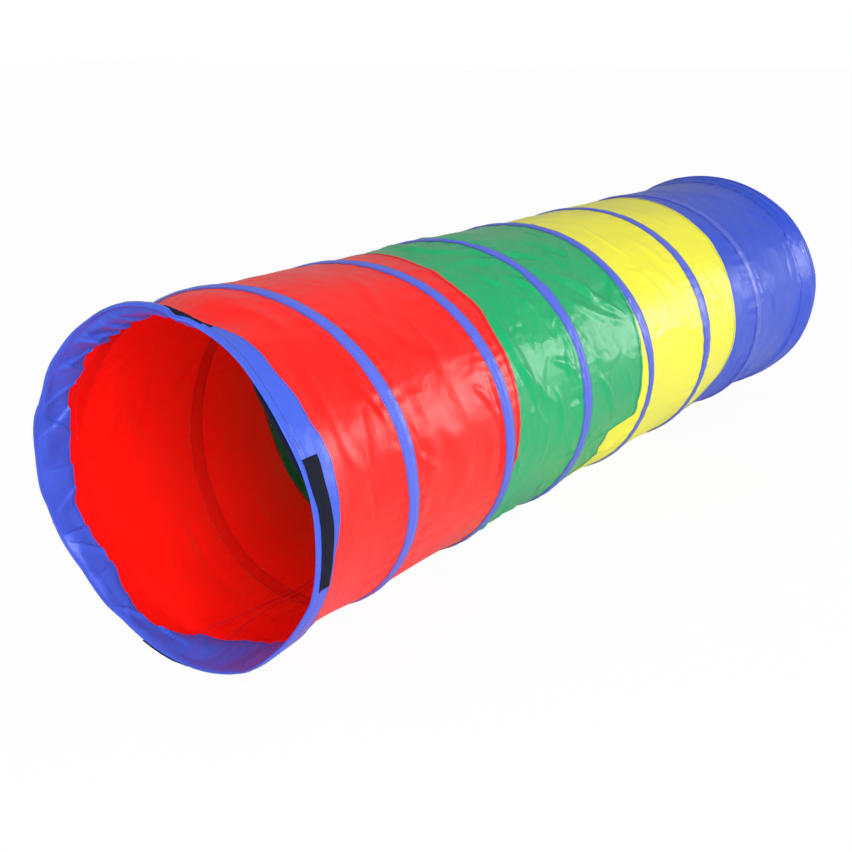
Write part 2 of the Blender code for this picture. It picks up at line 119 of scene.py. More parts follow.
@dataclass(frozen=True)
class RingCurve:
    """A value that changes round the tunnel, stated at a few angles and smooth between them."""

    knots: tuple[tuple[float, float], ...]

    @classmethod
    def mm(cls, *knots: tuple[float, float]) -> "RingCurve":
        """A curve from angles in degrees and values in millimetres."""
        return cls(tuple((angle, 0.001 * value) for angle, value in knots))

    @classmethod
    def level(cls, value: float) -> "RingCurve":
        """A curve with the same value in millimetres all round."""
        return cls.mm((0, value), (180, value))

    def at(self, angle: Numbers) -> Numbers:
        """Reads the curve, which never swings past the values it joins.

        Args:
            angle: Angles in degrees.

        Returns:
            The curve's value at each angle.
        """
        degrees, values = np.array(self.knots, float).T
        degrees = np.concatenate([degrees[-2:] - 360.0, degrees, degrees[:2] + 360.0])
        values = np.concatenate([values[-2:], values, values[:2]])
        rises = np.diff(values) / np.diff(degrees)
        slopes = np.zeros(len(values))
        same = rises[:-1] * rises[1:] > 0
        total = np.where(same, rises[:-1] + rises[1:], 1.0)
        slopes[1:-1] = np.where(same, 2 * rises[:-1] * rises[1:] / total, 0.0)
        where = np.asarray(angle, float) % 360.0
        left = np.clip(np.searchsorted(degrees, where, side="right") - 1, 0, len(degrees) - 2)
        width = degrees[left + 1] - degrees[left]
        t = (where - degrees[left]) / width
        rise = 3 * t**2 - 2 * t**3
        start_slope = (t**3 - 2 * t**2 + t) * width * slopes[left]
        end_slope = (t**3 - t**2) * width * slopes[left + 1]
        return values[left] * (1 - rise) + values[left + 1] * rise + start_slope + end_slope


FRONT_BEND = RingCurve.mm(
    (30, 0), (36, 2), (42, 7.5), (48, 11), (54, 15), (60, 18.5), (70, 19), (90, 16), (102, 13),
    (114, 16.5), (126, 17), (138, 13), (148, 12), (156, 14), (164, 17), (172, 18.5), (186, 17.5),
    (204, 19.5), (212, 12.5), (221, 5), (231, -5), (240, -5), (252, 0), (300, 0),
)
REAR_BEND = RingCurve.mm(
    (25, 0), (50, -10), (75, -17), (95, -8), (112, 0), (150, 7), (162, 9), (174, 14), (192, 11.5),
    (204, 16), (216, 25), (230, 24), (250, 14), (285, 0),
)


class End(Enum):
    """One of the tunnel's two mouths."""

    FRONT = "front"
    REAR = "rear"


class Body(Enum):
    """The frame's bodies that the pieces ride on."""

    FRONT_END = "front_end"
    RED_SECTION = "red_section"
    GREEN_SECTION = "green_section"
    YELLOW_SECTION = "yellow_section"
    BLUE_SECTION = "blue_section"
    REAR_END = "rear_end"


@dataclass(frozen=True)
class TunnelShape:
    """The tunnel's sizes, as in the CAD source, and the curves of its coil and mouths.

    The coil's sway is in millimetres, at the turns listed before it.
    """

    x_front: float = -0.9067961785520529
    axis_height: float = 0.24072281
    hoop_distance: float = 1.830
    hoop_radius: float = 0.2393
    cloth_radius: float = 0.2315
    wire: float = 0.0025
    lay: float = 0.0031
    cuff_width: float = 0.055
    tape_width: float = 0.028
    front_lean: float = 0.0430
    front_lean_at: float = 320.0
    front_bend: RingCurve = FRONT_BEND
    rear_lean: float = 0.0285
    rear_lean_at: float = 228.0
    rear_bend: RingCurve = REAR_BEND
    leave_turn: float = -37.5
    arrive_turn: float = 2362.5
    leaves_at: float = 0.0429591
    pitch: float = 0.2586697
    rear_stretch: float = 0.0883
    rear_stretch_over: float = 600.0
    rear_stretch_ends: float = 62.5
    lay_ramp: float = 60.0
    half_flat: float = 7.5
    blend: float = 0.0020
    seams: tuple[float, ...] = (0.055, 0.495, 0.929, 1.395, 1.775)
    sway_turns: tuple[float, ...] = (
        60, 100, 140, 180, 204, 240, 300, 400, 460, 500, 540, 564, 620, 700, 780, 820, 860, 900, 924,
        1000, 1100, 1180, 1215, 1235, 1262, 1300, 1400, 1480, 1545, 1575, 1610, 1650, 1720, 2000,
    )
    sway_sizes: tuple[float, ...] = (
        0, 6, 5, 6, 8, 6, 3, 4, 12, 12, 11, 8, 5, 4, 8, 11, 11, 9, 5,
        0, -2, -4, -7, -4, 2, 3, 2, 6, 12, 12, 9, 6, 2, 0,
    )

    def lean(self, end: End, angle: Numbers, radius: float | Numbers) -> Numbers:
        """How far the plane of an end hoop lies towards +X at this place.

        Args:
            end: Which mouth.
            angle: Angles in degrees.
            radius: Distance from the tunnel's axis.

        Returns:
            The distance along X from the hoop's centre.
        """
        size, at, bend = self.front_lean, self.front_lean_at, self.front_bend.at(angle)
        if end is End.REAR:
            size, at, bend = self.rear_lean, self.rear_lean_at, self.rear_bend.at(angle)
        return (size * np.cos(np.radians(np.asarray(angle) - at)) + bend) * radius / self.hoop_radius

    def from_mouth(self, end: End, angle: Numbers, radius: Numbers, depth: Numbers) -> Numbers:
        """X of a point this deep inside a mouth.

        Args:
            end: Which mouth.
            angle: Angles in degrees.
            radius: Distance from the tunnel's axis.
            depth: Distance in from the leaning plane of the hoop.

        Returns:
            X from the centre of the front hoop.
        """
        if end is End.FRONT:
            return self.lean(end, angle, radius) + depth
        return self.hoop_distance + self.lean(end, angle, radius) - depth

    def depth(self, end: End, x: Numbers, angle: Numbers, radius: float) -> Numbers:
        """How deep inside a mouth a point lies.

        Args:
            end: Which mouth.
            x: Distances along the tunnel.
            angle: Angles in degrees.
            radius: Distance from the tunnel's axis.

        Returns:
            The depth at each place.
        """
        if end is End.FRONT:
            return x - self.lean(end, angle, radius)
        return self.hoop_distance + self.lean(end, angle, radius) - x

    def coil(self, turn: Numbers) -> Numbers:
        """X of the coil between the hoops.

        Args:
            turn: Turns in degrees.

        Returns:
            X at each turn.
        """
        stretched = (turn - self.arrive_turn + self.rear_stretch_ends) / self.rear_stretch_over + 1
        even = self.leaves_at + self.pitch * (turn - self.leave_turn) / 360.0
        arriving = smooth_step((turn - self.arrive_turn) / 80.0 + 1)
        bent = self.rear_bend.at(self.arrive_turn) * arriving
        return even + self.rear_stretch * smooth_step(stretched) + self.sway(turn) + bent

    def sway(self, turn: Numbers) -> Numbers:
        """How far the sewn coil wanders from an even winding.

        Args:
            turn: Turns in degrees.

        Returns:
            The distance along X at each turn.
        """
        t = np.radians(turn)
        wander = 0.0008 * np.sin(4.3 * t + 1.9) + 0.0005 * np.sin(9.1 * t + 0.7)
        inside = smooth_step((turn - self.leave_turn - 30) / 90)
        inside *= smooth_step((self.arrive_turn - 30 - turn) / 90)
        return wander * inside + 0.001 * np.interp(turn, self.sway_turns, self.sway_sizes)

    def wire_x(self, turn: Numbers) -> Numbers:
        """X of the wire: once round the front hoop, along the coil, and once round the rear hoop.

        Args:
            turn: Turns in degrees.

        Returns:
            X at each turn.
        """
        front = self.lean(End.FRONT, turn, self.hoop_radius)
        ramp = (turn - self.leave_turn + 2 * self.half_flat + self.lay_ramp) / self.lay_ramp
        front = front + self.lay * smooth_step(ramp)
        rear = self.hoop_distance + self.lean(End.REAR, turn, self.hoop_radius)
        ramp = (turn - self.arrive_turn - 2 * self.half_flat) / self.lay_ramp
        rear = rear - self.lay * (1 - smooth_step(ramp))
        free = self.coil(turn)
        later = 0.5 * (front + free + np.hypot(front - free, self.blend))
        return 0.5 * (rear + later - np.hypot(rear - later, self.blend))

    def next_turns(self, x: Numbers, angle: Numbers) -> tuple[Numbers, Numbers, Numbers]:
        """Finds the two passes of the coil that a place on the cloth lies between.

        Args:
            x: Distances along the tunnel.
            angle: Angles in degrees, from 0 to 360.

        Returns:
            The turn of the pass before each place, that pass's X and the X of the pass after it.
        """
        counts = np.arange(-3, 11)
        passes = self.coil(np.asarray(angle)[..., None] + 360.0 * counts)
        before = (passes <= np.asarray(x)[..., None]).sum(-1) - 1
        before = np.clip(before, 0, len(counts) - 2)
        low = np.take_along_axis(passes, before[..., None], -1)[..., 0]
        high = np.take_along_axis(passes, before[..., None] + 1, -1)[..., 0]
        return np.asarray(angle) + 360.0 * counts[before], low, high

    def place(self, x: Numbers, angle: Numbers, radius: Numbers) -> Numbers:
        """Turns places on the tunnel into points in the room, resting on the floor at the lowest.

        Args:
            x: Distances along the tunnel.
            angle: Angles in degrees.
            radius: Distances from the axis.

        Returns:
            One row of three coordinates for each place.
        """
        a = np.radians(angle)
        height = self.axis_height + radius * np.sin(a)
        return np.stack([self.x_front + x, radius * np.cos(a), np.maximum(height, 0.0)], axis=-1)

    def anchor(self, body: Body) -> float:
        """X in the room of a body's plane: its hoop's centre, or midway between the seams of its section.

        Args:
            body: The body.

        Returns:
            The plane's X.
        """
        if body is Body.FRONT_END:
            return self.x_front
        if body is Body.REAR_END:
            return self.x_front + self.hoop_distance
        index = list(Body).index(body) - 1
        return self.x_front + (self.seams[index] + self.seams[index + 1]) / 2


@dataclass(frozen=True)
class Crease:
    """One fold in the cloth: a crisp ridge with straight sides along a short, bent line."""

    x: float
    angle: float
    heading: float
    length: float
    width: float
    height: float
    bend: float = 0.0

    def lift(self, dx: Numbers, around: Numbers) -> Numbers:
        """How far the fold lifts the cloth.

        Args:
            dx: Distances along the tunnel from the fold's middle.
            around: Distances round the tunnel from the fold's middle.

        Returns:
            The height of the fold at each place.
        """
        c, s = math.cos(math.radians(self.heading)), math.sin(math.radians(self.heading))
        along = (dx * c + around * s) / self.length
        aside = around * c - dx * s - self.bend * self.length * along**2
        reach = self.width * (1.15 - 0.5 * np.clip(np.abs(along), 0, 1))
        ridge = np.clip(1.1 - np.sqrt((aside / reach) ** 2 + 0.01), 0.0, 1.0)
        return self.height * ridge * smooth_step((1 - np.abs(along)) / 0.6)


@dataclass(frozen=True)
class Crumple:
    """A scatter of like folds over part of a panel."""

    count: int
    heading: float
    spread: float
    length: tuple[float, float]
    width: tuple[float, float]
    height: tuple[float, float]
    seed: int
    angles: tuple[float, float] = (0.0, 360.0)

    def folds(self, low: float, high: float) -> list[Crease]:
        """Scatters the folds.

        Args:
            low: Where along the tunnel the panel starts.
            high: Where it ends.

        Returns:
            The folds, the same ones each time.
        """
        chance = random.Random(self.seed)
        made = []
        for _ in range(self.count):
            made.append(
                Crease(
                    x=chance.uniform(low, high),
                    angle=chance.uniform(*self.angles),
                    heading=chance.gauss(self.heading, self.spread),
                    length=chance.uniform(*self.length),
                    width=chance.uniform(*self.width),
                    height=chance.uniform(*self.height) * chance.choice((1, 1, -1)),
                    bend=chance.uniform(-0.4, 0.4),
                )
            )
        return made


class FoldField:
    """All the folds laid over the unrolled tunnel once, so that any piece can read them."""

    def __init__(self, folds: list[Crease], shape: TunnelShape) -> None:
        """Adds the folds up on a fine grid.

        Args:
            folds: The folds.
            shape: The tunnel's sizes.
        """
        self.low, self.step, self.turn_step = -0.06, 0.0020, 0.5
        count = int(1.98 / self.step)
        xs = self.low + self.step * np.arange(count)
        turns = np.arange(0.0, 360.0, self.turn_step)
        self.heights = np.zeros((count, len(turns)))
        for fold in folds:
            reach = fold.length + 2 * fold.width
            first = max(0, int((fold.x - reach - self.low) / self.step))
            last = min(count, int((fold.x + reach - self.low) / self.step) + 1)
            wide = int(min(179.0, math.degrees(reach / shape.cloth_radius)) / self.turn_step)
            middle = int(fold.angle / self.turn_step)
            picked = np.arange(middle - wide, middle + wide + 1) % len(turns)
            around = np.radians(turned_from(turns[picked], fold.angle)) * shape.cloth_radius
            dx = xs[first:last] - fold.x
            self.heights[first:last, picked] += fold.lift(dx[:, None], around[None, :])

    def at(self, x: Numbers, angle: Numbers) -> Numbers:
        """Reads the folds.

        Args:
            x: Distances along the tunnel.
            angle: Angles in degrees.

        Returns:
            The lift at each place.
        """
        rows, columns = self.heights.shape
        u = np.clip((x - self.low) / self.step, 0, rows - 1.001)
        v = (np.asarray(angle) % 360.0) / self.turn_step
        i, j = u.astype(int), v.astype(int) % columns
        fu, fv, later = u - i, v - np.floor(v), (j + 1) % columns
        near = self.heights[i, j] * (1 - fv) + self.heights[i, later] * fv
        far = self.heights[i + 1, j] * (1 - fv) + self.heights[i + 1, later] * fv
        return near * (1 - fu) + far * fu


@dataclass
class Drape:
    """How the cloth hangs over the coil: its flare to the hoops, its sag, gathers and folds.

    The top's rise is in millimetres, at the places along the tunnel listed before it.
    """

    shape: TunnelShape
    folds: FoldField
    lining_lift: RingCurve
    front_seam: RingCurve
    rear_seam: RingCurve
    saddle: RingCurve
    sag: tuple[float, float] = (0.0022, -0.0022)
    flare_over: tuple[float, float] = (0.06, 0.17)
    gathers: tuple[Gathers, Gathers] = (Gathers(41, 1.9, 5.3), Gathers(67, 2.2, 7.7))
    gather: float = 0.0009
    gather_fades: float = 0.026
    rise_at: tuple[float, ...] = (0.00, 0.04, 0.09, 0.14, 0.24, 0.40, 0.52, 0.62, 0.78, 0.90, 1.00)
    rise_by: tuple[float, ...] = (0.0, 0.5, 4.8, 7.5, 5.5, 3.5, 1.5, 3.5, 4.0, 1.5, 0.0)
    dip_starts: tuple[float, float] = (0.002, 0.012)
    dip_ends: tuple[float, float] = (0.040, 0.075)
    slack_over: tuple[float, float] = (0.045, 0.075)

    def flare(self, x: Numbers, angle: Numbers) -> Numbers:
        """How far the cloth stands out near a mouth, where it runs up to the wider hoop.

        Args:
            x: Distances along the tunnel.
            angle: Angles in degrees.

        Returns:
            What is added to the cloth's radius at each place.
        """
        shape = self.shape
        full = shape.hoop_radius - 0.0004 - shape.cloth_radius
        out = np.zeros(np.broadcast(x, angle).shape)
        for end, turn in ((End.FRONT, shape.leave_turn), (End.REAR, shape.arrive_turn)):
            way = 1 if end is End.FRONT else -1
            gone = (way * (np.asarray(angle) - turn)) % 360.0
            first = shape.coil(turn + way * gone)
            reach = shape.depth(end, first, angle, shape.cloth_radius)
            start, finish = self.flare_over
            share = smooth_step((360.0 - gone) / 40.0)
            reach = start + (np.clip(reach, start, finish) - start) * share
            depth = shape.depth(end, x, angle, shape.cloth_radius)
            out = out + full * (1 - smooth_step(depth / reach))
        return out

    def skin(self, x: Numbers, angle: Numbers) -> Numbers:
        """Radius of the taut cloth, which stands a little higher than round along its top.

        Args:
            x: Distances along the tunnel.
            angle: Angles in degrees.

        Returns:
            The radius at each place.
        """
        upward = smooth_step(np.sin(np.radians(angle)) / 0.9)
        rise = 0.001 * np.interp(x, self.rise_at, self.rise_by) * upward
        depth = self.shape.depth(End.FRONT, x, angle, self.shape.cloth_radius)
        starts, ends = (smooth_step((depth - at) / over) for at, over in (self.dip_starts, self.dip_ends))
        sunk = self.saddle.at(angle) * starts * (1 - ends)
        return self.shape.cloth_radius + self.flare(x, angle) + rise - sunk

    def seam_fade(self, x: Numbers, angle: Numbers, over: float) -> Numbers:
        """0 under either cuff's outer face, and 1 well past it.

        Args:
            x: Distances along the tunnel.
            angle: Angles in degrees.
            over: How far past the cuff it reaches 1.

        Returns:
            The share at each place.
        """
        shape = self.shape
        front = shape.depth(End.FRONT, x, angle, shape.cloth_radius) - self.front_seam.at(angle)
        rear = shape.depth(End.REAR, x, angle, shape.cloth_radius) - self.rear_seam.at(angle)
        return smooth_step(np.minimum(front, rear) / over + 0.1)

    def cloth_radius(self, x: Numbers, angle: Numbers) -> Numbers:
        """Radius of the cloth's outer face.

        Args:
            x: Distances along the tunnel.
            angle: Angles in degrees, from 0 to 360.

        Returns:
            The radius at each place.
        """
        shape = self.shape
        turn, low, high = shape.next_turns(x, angle)
        half = shape.tape_width / 2
        span = high - low - shape.tape_width
        across = np.clip((x - low - half) / span, 0.0, 1.0)
        off_tape = np.maximum(np.minimum(x - low, high - x) - half, 0.0)
        hang = self.sag[0] + self.sag[1] * np.sin(np.radians(angle))
        a = np.radians(angle)
        hang = hang + 0.0012 * np.sin(5 * a + 9 * x) + 0.0008 * np.sin(11 * a - 14 * x + 1)
        sag = hang * (4 * across * (1 - across)) ** 0.8
        beat = np.radians(turn + 360.0 * (x - low > high - x))
        strength = 0.55 + 0.45 * np.sin(3.1 * beat + 1)
        wide, narrow = self.gathers
        gather = wide.at(beat) * strength + 0.6 * narrow.at(beat, 20 * off_tape)
        gather *= self.gather * np.exp(-off_tape / self.gather_fades)
        gather *= 0.25 + 0.75 * smooth_step(off_tape / 0.006)
        lift = self.folds.at(x, angle) * (0.08 + 0.92 * smooth_step(off_tape / 0.016))
        inside = self.seam_fade(x, angle, 0.03)
        mouth = shape.depth(End.FRONT, x, angle, shape.cloth_radius)
        full, over = self.slack_over
        slack = self.lining_lift.at(angle) * (1 - smooth_step((mouth - full) / over))
        slack = slack * smooth_step(mouth / full)
        return self.skin(x, angle) - sag * inside + gather + lift * (0.15 + 0.85 * inside) - slack


def make_mesh(name: str, bm: bmesh.types.BMesh) -> bpy.types.Mesh:
    """Turns what bmesh built into a mesh and frees it.

    Args:
        name: The mesh's name.
        bm: What was built.

    Returns:
        The mesh.
    """
    mesh = bpy.data.meshes.new(name)
    bm.to_mesh(mesh)
    bm.free()
    return mesh


def coordinates(mesh: bpy.types.Mesh) -> Numbers:
    """The mesh's vertices as an array of rows."""
    flat = np.empty(len(mesh.vertices) * 3, np.float64)
    mesh.vertices.foreach_get("co", flat)
    return flat.reshape(-1, 3)


class Roll:
    """A flat grid to be rolled round the tunnel, with each vertex's column and turn."""

    def __init__(self, name: str, columns: int, start: float, sweep: float, steps: int) -> None:
        """Makes the grid.

        Args:
            name: The mesh's name.
            columns: How many faces across the section.
            start: The first turn in degrees.
            sweep: How far it runs round.
            steps: How many faces along the sweep.
        """
        bm = bmesh.new()
        bmesh.ops.create_grid(bm, x_segments=columns, y_segments=steps, size=0.5)
        self.mesh = make_mesh(name, bm)
        flat = coordinates(self.mesh)
        self.column = np.round((flat[:, 0] + 0.5) * columns).astype(int)
        self.turn = start + sweep * np.round((flat[:, 1] + 0.5) * steps) / steps

    def band(self, columns: int) -> tuple[Numbers, Numbers]:
        """Reads the grid as a flat closed section, down its face and back along its underside.

        Args:
            columns: How many faces across the band; the grid has twice as many and two more.

        Returns:
            How far across the band each vertex lies, from 0 to 1, and 1 on its face or 0 under it.
        """
        under = (self.column > columns) & (self.column < 2 * columns + 2)
        column = np.where(under, 2 * columns + 1 - self.column, self.column % (2 * columns + 2))
        return column / columns, 1.0 - under

    def close(
        self, points: Numbers, across: Numbers, radius: float, flip: bool = False, solid: bool = False,
        tidy: float = 0.0,
    ) -> bpy.types.Mesh:
        """Sets the vertices, lays out the UV map in metres and welds the edges that meet.

        Args:
            points: Each vertex's place in the room.
            across: Each vertex's V; its U is the distance round the tunnel.
            radius: What turns an angle into a distance.
            flip: Whether the grid's faces have to be turned over to face outwards.
            solid: Whether the section is a loop whose two ends are capped.
            tidy: Edges shorter than this are dissolved.

        Returns:
            The mesh.
        """
        mesh = self.mesh
        vertex = np.empty(len(mesh.loops), np.int32)
        mesh.loops.foreach_get("vertex_index", vertex)
        uv = np.stack([np.radians(self.turn) * radius, across], axis=-1)[vertex]
        mesh.uv_layers.new(name=UV_NAME).data.foreach_set("uv", uv.astype(np.float32).ravel())
        mesh.vertices.foreach_set("co", points.astype(np.float32).ravel())
        bm = bmesh.new()
        bm.from_mesh(mesh)
        bmesh.ops.remove_doubles(bm, verts=bm.verts, dist=WELD)
        if tidy:
            bmesh.ops.dissolve_degenerate(bm, dist=tidy, edges=bm.edges)
        if solid:
            bmesh.ops.holes_fill(bm, edges=[e for e in bm.edges if e.is_boundary])
            bmesh.ops.recalc_face_normals(bm, faces=bm.faces)
        if flip:
            bmesh.ops.reverse_faces(bm, faces=bm.faces)
        bm.to_mesh(mesh)
        bm.free()
        return mesh


def tinted(colour: Colour, factor: float, more: float = 0.0) -> tuple[float, ...]:
    """The colour made deeper or paler, with an alpha of 1."""
    return (*(min(1.0, factor * c + more) for c in colour), 1.0)


class NodeBoard:
    """The node tree of a material or a world, with short calls for adding and joining nodes."""

    def __init__(self, owner: bpy.types.Material | bpy.types.World) -> None:
        """Empties the tree and gives it its output."""
        owner.use_nodes = True
        self.owner, self.tree = owner, owner.node_tree
        self.tree.nodes.clear()
        kind = "World" if isinstance(owner, bpy.types.World) else "Material"
        self.output = self.add(f"Output{kind}")

    def add(self, kind: str, settings: dict | None = None, **sockets: object) -> bpy.types.Node:
        """Adds a node.

        Args:
            kind: The node's type, without its ShaderNode prefix.
            settings: Attributes to set on the node.
            **sockets: Input sockets by name, with _ for a space: numbers are set and outputs joined.

        Returns:
            The new node.
        """
        node = self.tree.nodes.new("ShaderNode" + kind)
        for key, value in (settings or {}).items():
            setattr(node, key, value)
        for key, value in sockets.items():
            self.feed(node.inputs[key.replace("_", " ")], value)
        return node

    def feed(self, socket: bpy.types.NodeSocket, value: object) -> None:
        """Sets a socket, or joins an output to it."""
        if isinstance(value, bpy.types.NodeSocket):
            self.tree.links.new(value, socket)
        else:
            socket.default_value = value

    def uv(self) -> bpy.types.NodeSocket:
        """The piece's own UV map, in metres."""
        return self.add("UVMap", {"uv_map": UV_NAME}).outputs[0]

    def room(self) -> bpy.types.NodeSocket:
        """The piece's Object coordinates."""
        return self.add("TexCoord").outputs["Object"]

    def math(self, operation: str, *values: object) -> bpy.types.NodeSocket:
        """Adds a Math node and returns its output."""
        node = self.add("Math", {"operation": operation})
        for socket, value in zip(node.inputs, values):
            self.feed(socket, value)
        return node.outputs[0]

    def blend(self, share: object, a: object, b: object) -> bpy.types.NodeSocket:
        """Mixes two colours and returns the result."""
        node = self.add("Mix", {"data_type": "RGBA"})
        for index, value in ((0, share), (6, a), (7, b)):
            self.feed(node.inputs[index], value)
        return node.outputs[2]

    def noise(self, where: object, scale: float, detail: float = 2.0) -> bpy.types.NodeSocket:
        """Adds a noise texture and returns its value."""
        return self.add("TexNoise", Vector=where, Scale=scale, Detail=detail).outputs["Fac"]

    def cells(self, where: object, scale: float) -> bpy.types.NodeSocket:
        """Adds a cell pattern and returns the distance from each cell's middle."""
        return self.add("TexVoronoi", Vector=where, Scale=scale).outputs["Distance"]

    def bands(self, where: object, direction: str, period: float) -> bpy.types.NodeSocket:
        """Adds fine parallel bands with this period in metres and returns their value."""
        settings, scale = {"bands_direction": direction}, math.pi / 10 / period
        return self.add("TexWave", settings, Vector=where, Scale=scale).outputs["Fac"]

    def span(self, value: object, low: float, high: float) -> bpy.types.NodeSocket:
        """Turns a value from 0 to 1 into one between two numbers."""
        return self.add("MapRange", Value=value, To_Min=low, To_Max=high).outputs[0]

    def bump(
        self, height: object, strength: float, distance: float, under: object = None
    ) -> bpy.types.NodeSocket:
        """Adds a Bump node.

        Args:
            height: What the bumps follow.
            strength: How strong they are, from 0 to 1.
            distance: How high they are, in metres.
            under: The normal of the bumps that these lie on, if any.

        Returns:
            The node's normal.
        """
        node = self.add("Bump", Strength=strength, Distance=distance, Height=height)
        if under is not None:
            self.feed(node.inputs["Normal"], under)
        return node.outputs[0]

    def mix(self, share: object, first: bpy.types.Node, second: bpy.types.Node) -> bpy.types.Node:
        """Mixes two shaders.

        Args:
            share: How much of the second is seen.
            first: The first shader.
            second: The second shader.

        Returns:
            The mixing node.
        """
        node = self.add("MixShader", Fac=share)
        for index, shader in ((1, first), (2, second)):
            self.feed(node.inputs[index], shader.outputs[0])
        return node

    def seen(self) -> bpy.types.NodeSocket:
        """1 for what the camera sees, straight or through the cloth, and 0 for other light."""
        rays = self.add("LightPath").outputs
        return self.math("MAXIMUM", rays["Is Camera Ray"], rays["Is Transmission Ray"])

    def close(self, shader: bpy.types.Node) -> bpy.types.Material | bpy.types.World:
        """Joins the last shader to the output and returns the tree's owner."""
        self.feed(self.output.inputs["Surface"], shader.outputs[0])
        return self.owner


@dataclass(frozen=True)
class Finish:
    """What every finish has: a name for its material and a colour."""

    name: str
    colour: Colour

    def board(self) -> NodeBoard:
        """Starts the finish's material."""
        return NodeBoard(bpy.data.materials.new(self.name))


@dataclass(frozen=True)
class ClothFinish(Finish):
    """Thin dyed nylon taffeta: a fine weave, a soft gloss and light that comes through."""

    light_through: float
    roughness: float = 0.31
    gloss: float = 0.28
    thread: float = 0.00045
    crumple: float = 0.45
    facets: float = 0.25

    def material(self) -> bpy.types.Material:
        """Makes the material.

        Returns:
            A Principled shader mixed with a Translucent one, with its weave on the piece's UV map.
        """
        board = self.board()
        uv, room = board.uv(), board.room()
        stretched = board.add("Mapping", Vector=uv, Scale=(6.0, 140.0, 1.0)).outputs[0]
        broad = board.math("MULTIPLY", board.noise(room, 7.0, 3.0), 0.6)
        slubs = board.math("MULTIPLY", board.noise(stretched, 3.0, 3.0), 0.4)
        tone = board.math("ADD", broad, slubs)
        colour = board.blend(tone, tinted(self.colour, 0.91), tinted(self.colour, 1.05, 0.003))
        turned = board.add("Mapping", Vector=room, Scale=(1.0, 1.6, 1.0), Rotation=(0.3, 0.2, 0.7))
        weave = board.math("MULTIPLY", *(board.bands(uv, way, self.thread) for way in "XY"))
        puckers = board.bump(board.noise(room, 38.0, 3.0), self.crumple, 0.0016)
        folded = board.bump(board.cells(turned.outputs[0], 19.0), self.facets, 0.0040, puckers)
        fine = board.bump(weave, 0.12, 0.0001, folded)
        patchy = board.span(board.noise(room, 16.0), self.roughness - 0.05, self.roughness + 0.07)
        cloth = board.add("BsdfPrincipled", Base_Color=colour, Roughness=patchy, Normal=fine)
        cloth.inputs["Specular IOR Level"].default_value = self.gloss
        through = board.add("BsdfTranslucent", Color=colour, Normal=fine)
        return board.close(board.mix(self.light_through, cloth, through))


@dataclass(frozen=True)
class StripFinish(Finish):
    """Black hook tape: a dense nap of tiny hooks on a woven base, with a little lint in it."""

    def material(self) -> bpy.types.Material:
        """Makes the material.

        Returns:
            A matt shader with a cell pattern on the piece's UV map.
        """
        board = self.board()
        uv = board.uv()
        cells = board.cells(uv, 700.0)
        lint = board.math("POWER", board.noise(uv, 260.0, 3.0), 3.0)
        share = board.math("MULTIPLY", cells, lint)
        colour = board.blend(share, tinted(self.colour, 1.0), tinted(self.colour, 3.2, 0.004))
        nap = board.bump(cells, 0.8, 0.0008)
        strip = board.add("BsdfPrincipled", Base_Color=colour, Roughness=0.8, Normal=nap)
        strip.inputs["Specular IOR Level"].default_value = 0.10
        return board.close(strip)


@dataclass(frozen=True)
class ThreadFinish(Finish):
    """Twisted sewing thread."""

    def material(self) -> bpy.types.Material:
        """Makes the material.

        Returns:
            A shader with a faint change of tone from stitch to stitch.
        """
        board = self.board()
        tone = board.noise(board.room(), 400.0, 1.0)
        colour = board.blend(tone, tinted(self.colour, 1.0), tinted(self.colour, 1.5, 0.01))
        thread = board.add("BsdfPrincipled", Base_Color=colour, Roughness=0.6)
        thread.inputs["Specular IOR Level"].default_value = 0.2
        return board.close(thread)


@dataclass(frozen=True)
class SteelFinish(Finish):
    """Bright drawn spring steel, or a crimped sleeve."""

    roughness: float

    def material(self) -> bpy.types.Material:
        """Makes the material.

        Returns:
            A metal shader with a drawn grain in its roughness.
        """
        board = self.board()
        grain = board.noise(board.room(), 320.0, 3.0)
        rough = board.span(grain, self.roughness - 0.06, self.roughness + 0.12)
        colour = board.blend(grain, tinted(self.colour, 0.8), tinted(self.colour, 1.0))
        return board.close(board.add("BsdfPrincipled", Base_Color=colour, Metallic=1.0, Roughness=rough))


RED = ClothFinish("red_nylon", (0.97, 0.006, 0.003), 0.17, crumple=0.6)
GREEN = ClothFinish("green_nylon", (0.002, 0.370, 0.125), 0.04, gloss=0.25, crumple=0.9, facets=0.7)
YELLOW = ClothFinish("yellow_nylon", (0.95, 0.91, 0.035), 0.12)
BLUE = ClothFinish("blue_nylon", (0.020, 0.072, 0.61), 0.08, gloss=0.20, facets=0.4)
CUFF = ClothFinish("cuff_nylon", (0.048, 0.108, 0.67), 0.10, crumple=0.7, facets=0.5)
TAPE = ClothFinish("tape_nylon", (0.085, 0.125, 0.66), 0.06, crumple=0.3, facets=0.1)
HOOK_STRIP = StripFinish("hook_strip", (0.0055, 0.0075, 0.018))
THREAD = ThreadFinish("dark_thread", (0.012, 0.014, 0.05))
STEEL = SteelFinish("spring_steel", (0.62, 0.62, 0.63), 0.28)
SLEEVE_METAL = SteelFinish("sleeve_metal", (0.70, 0.69, 0.66), 0.38)


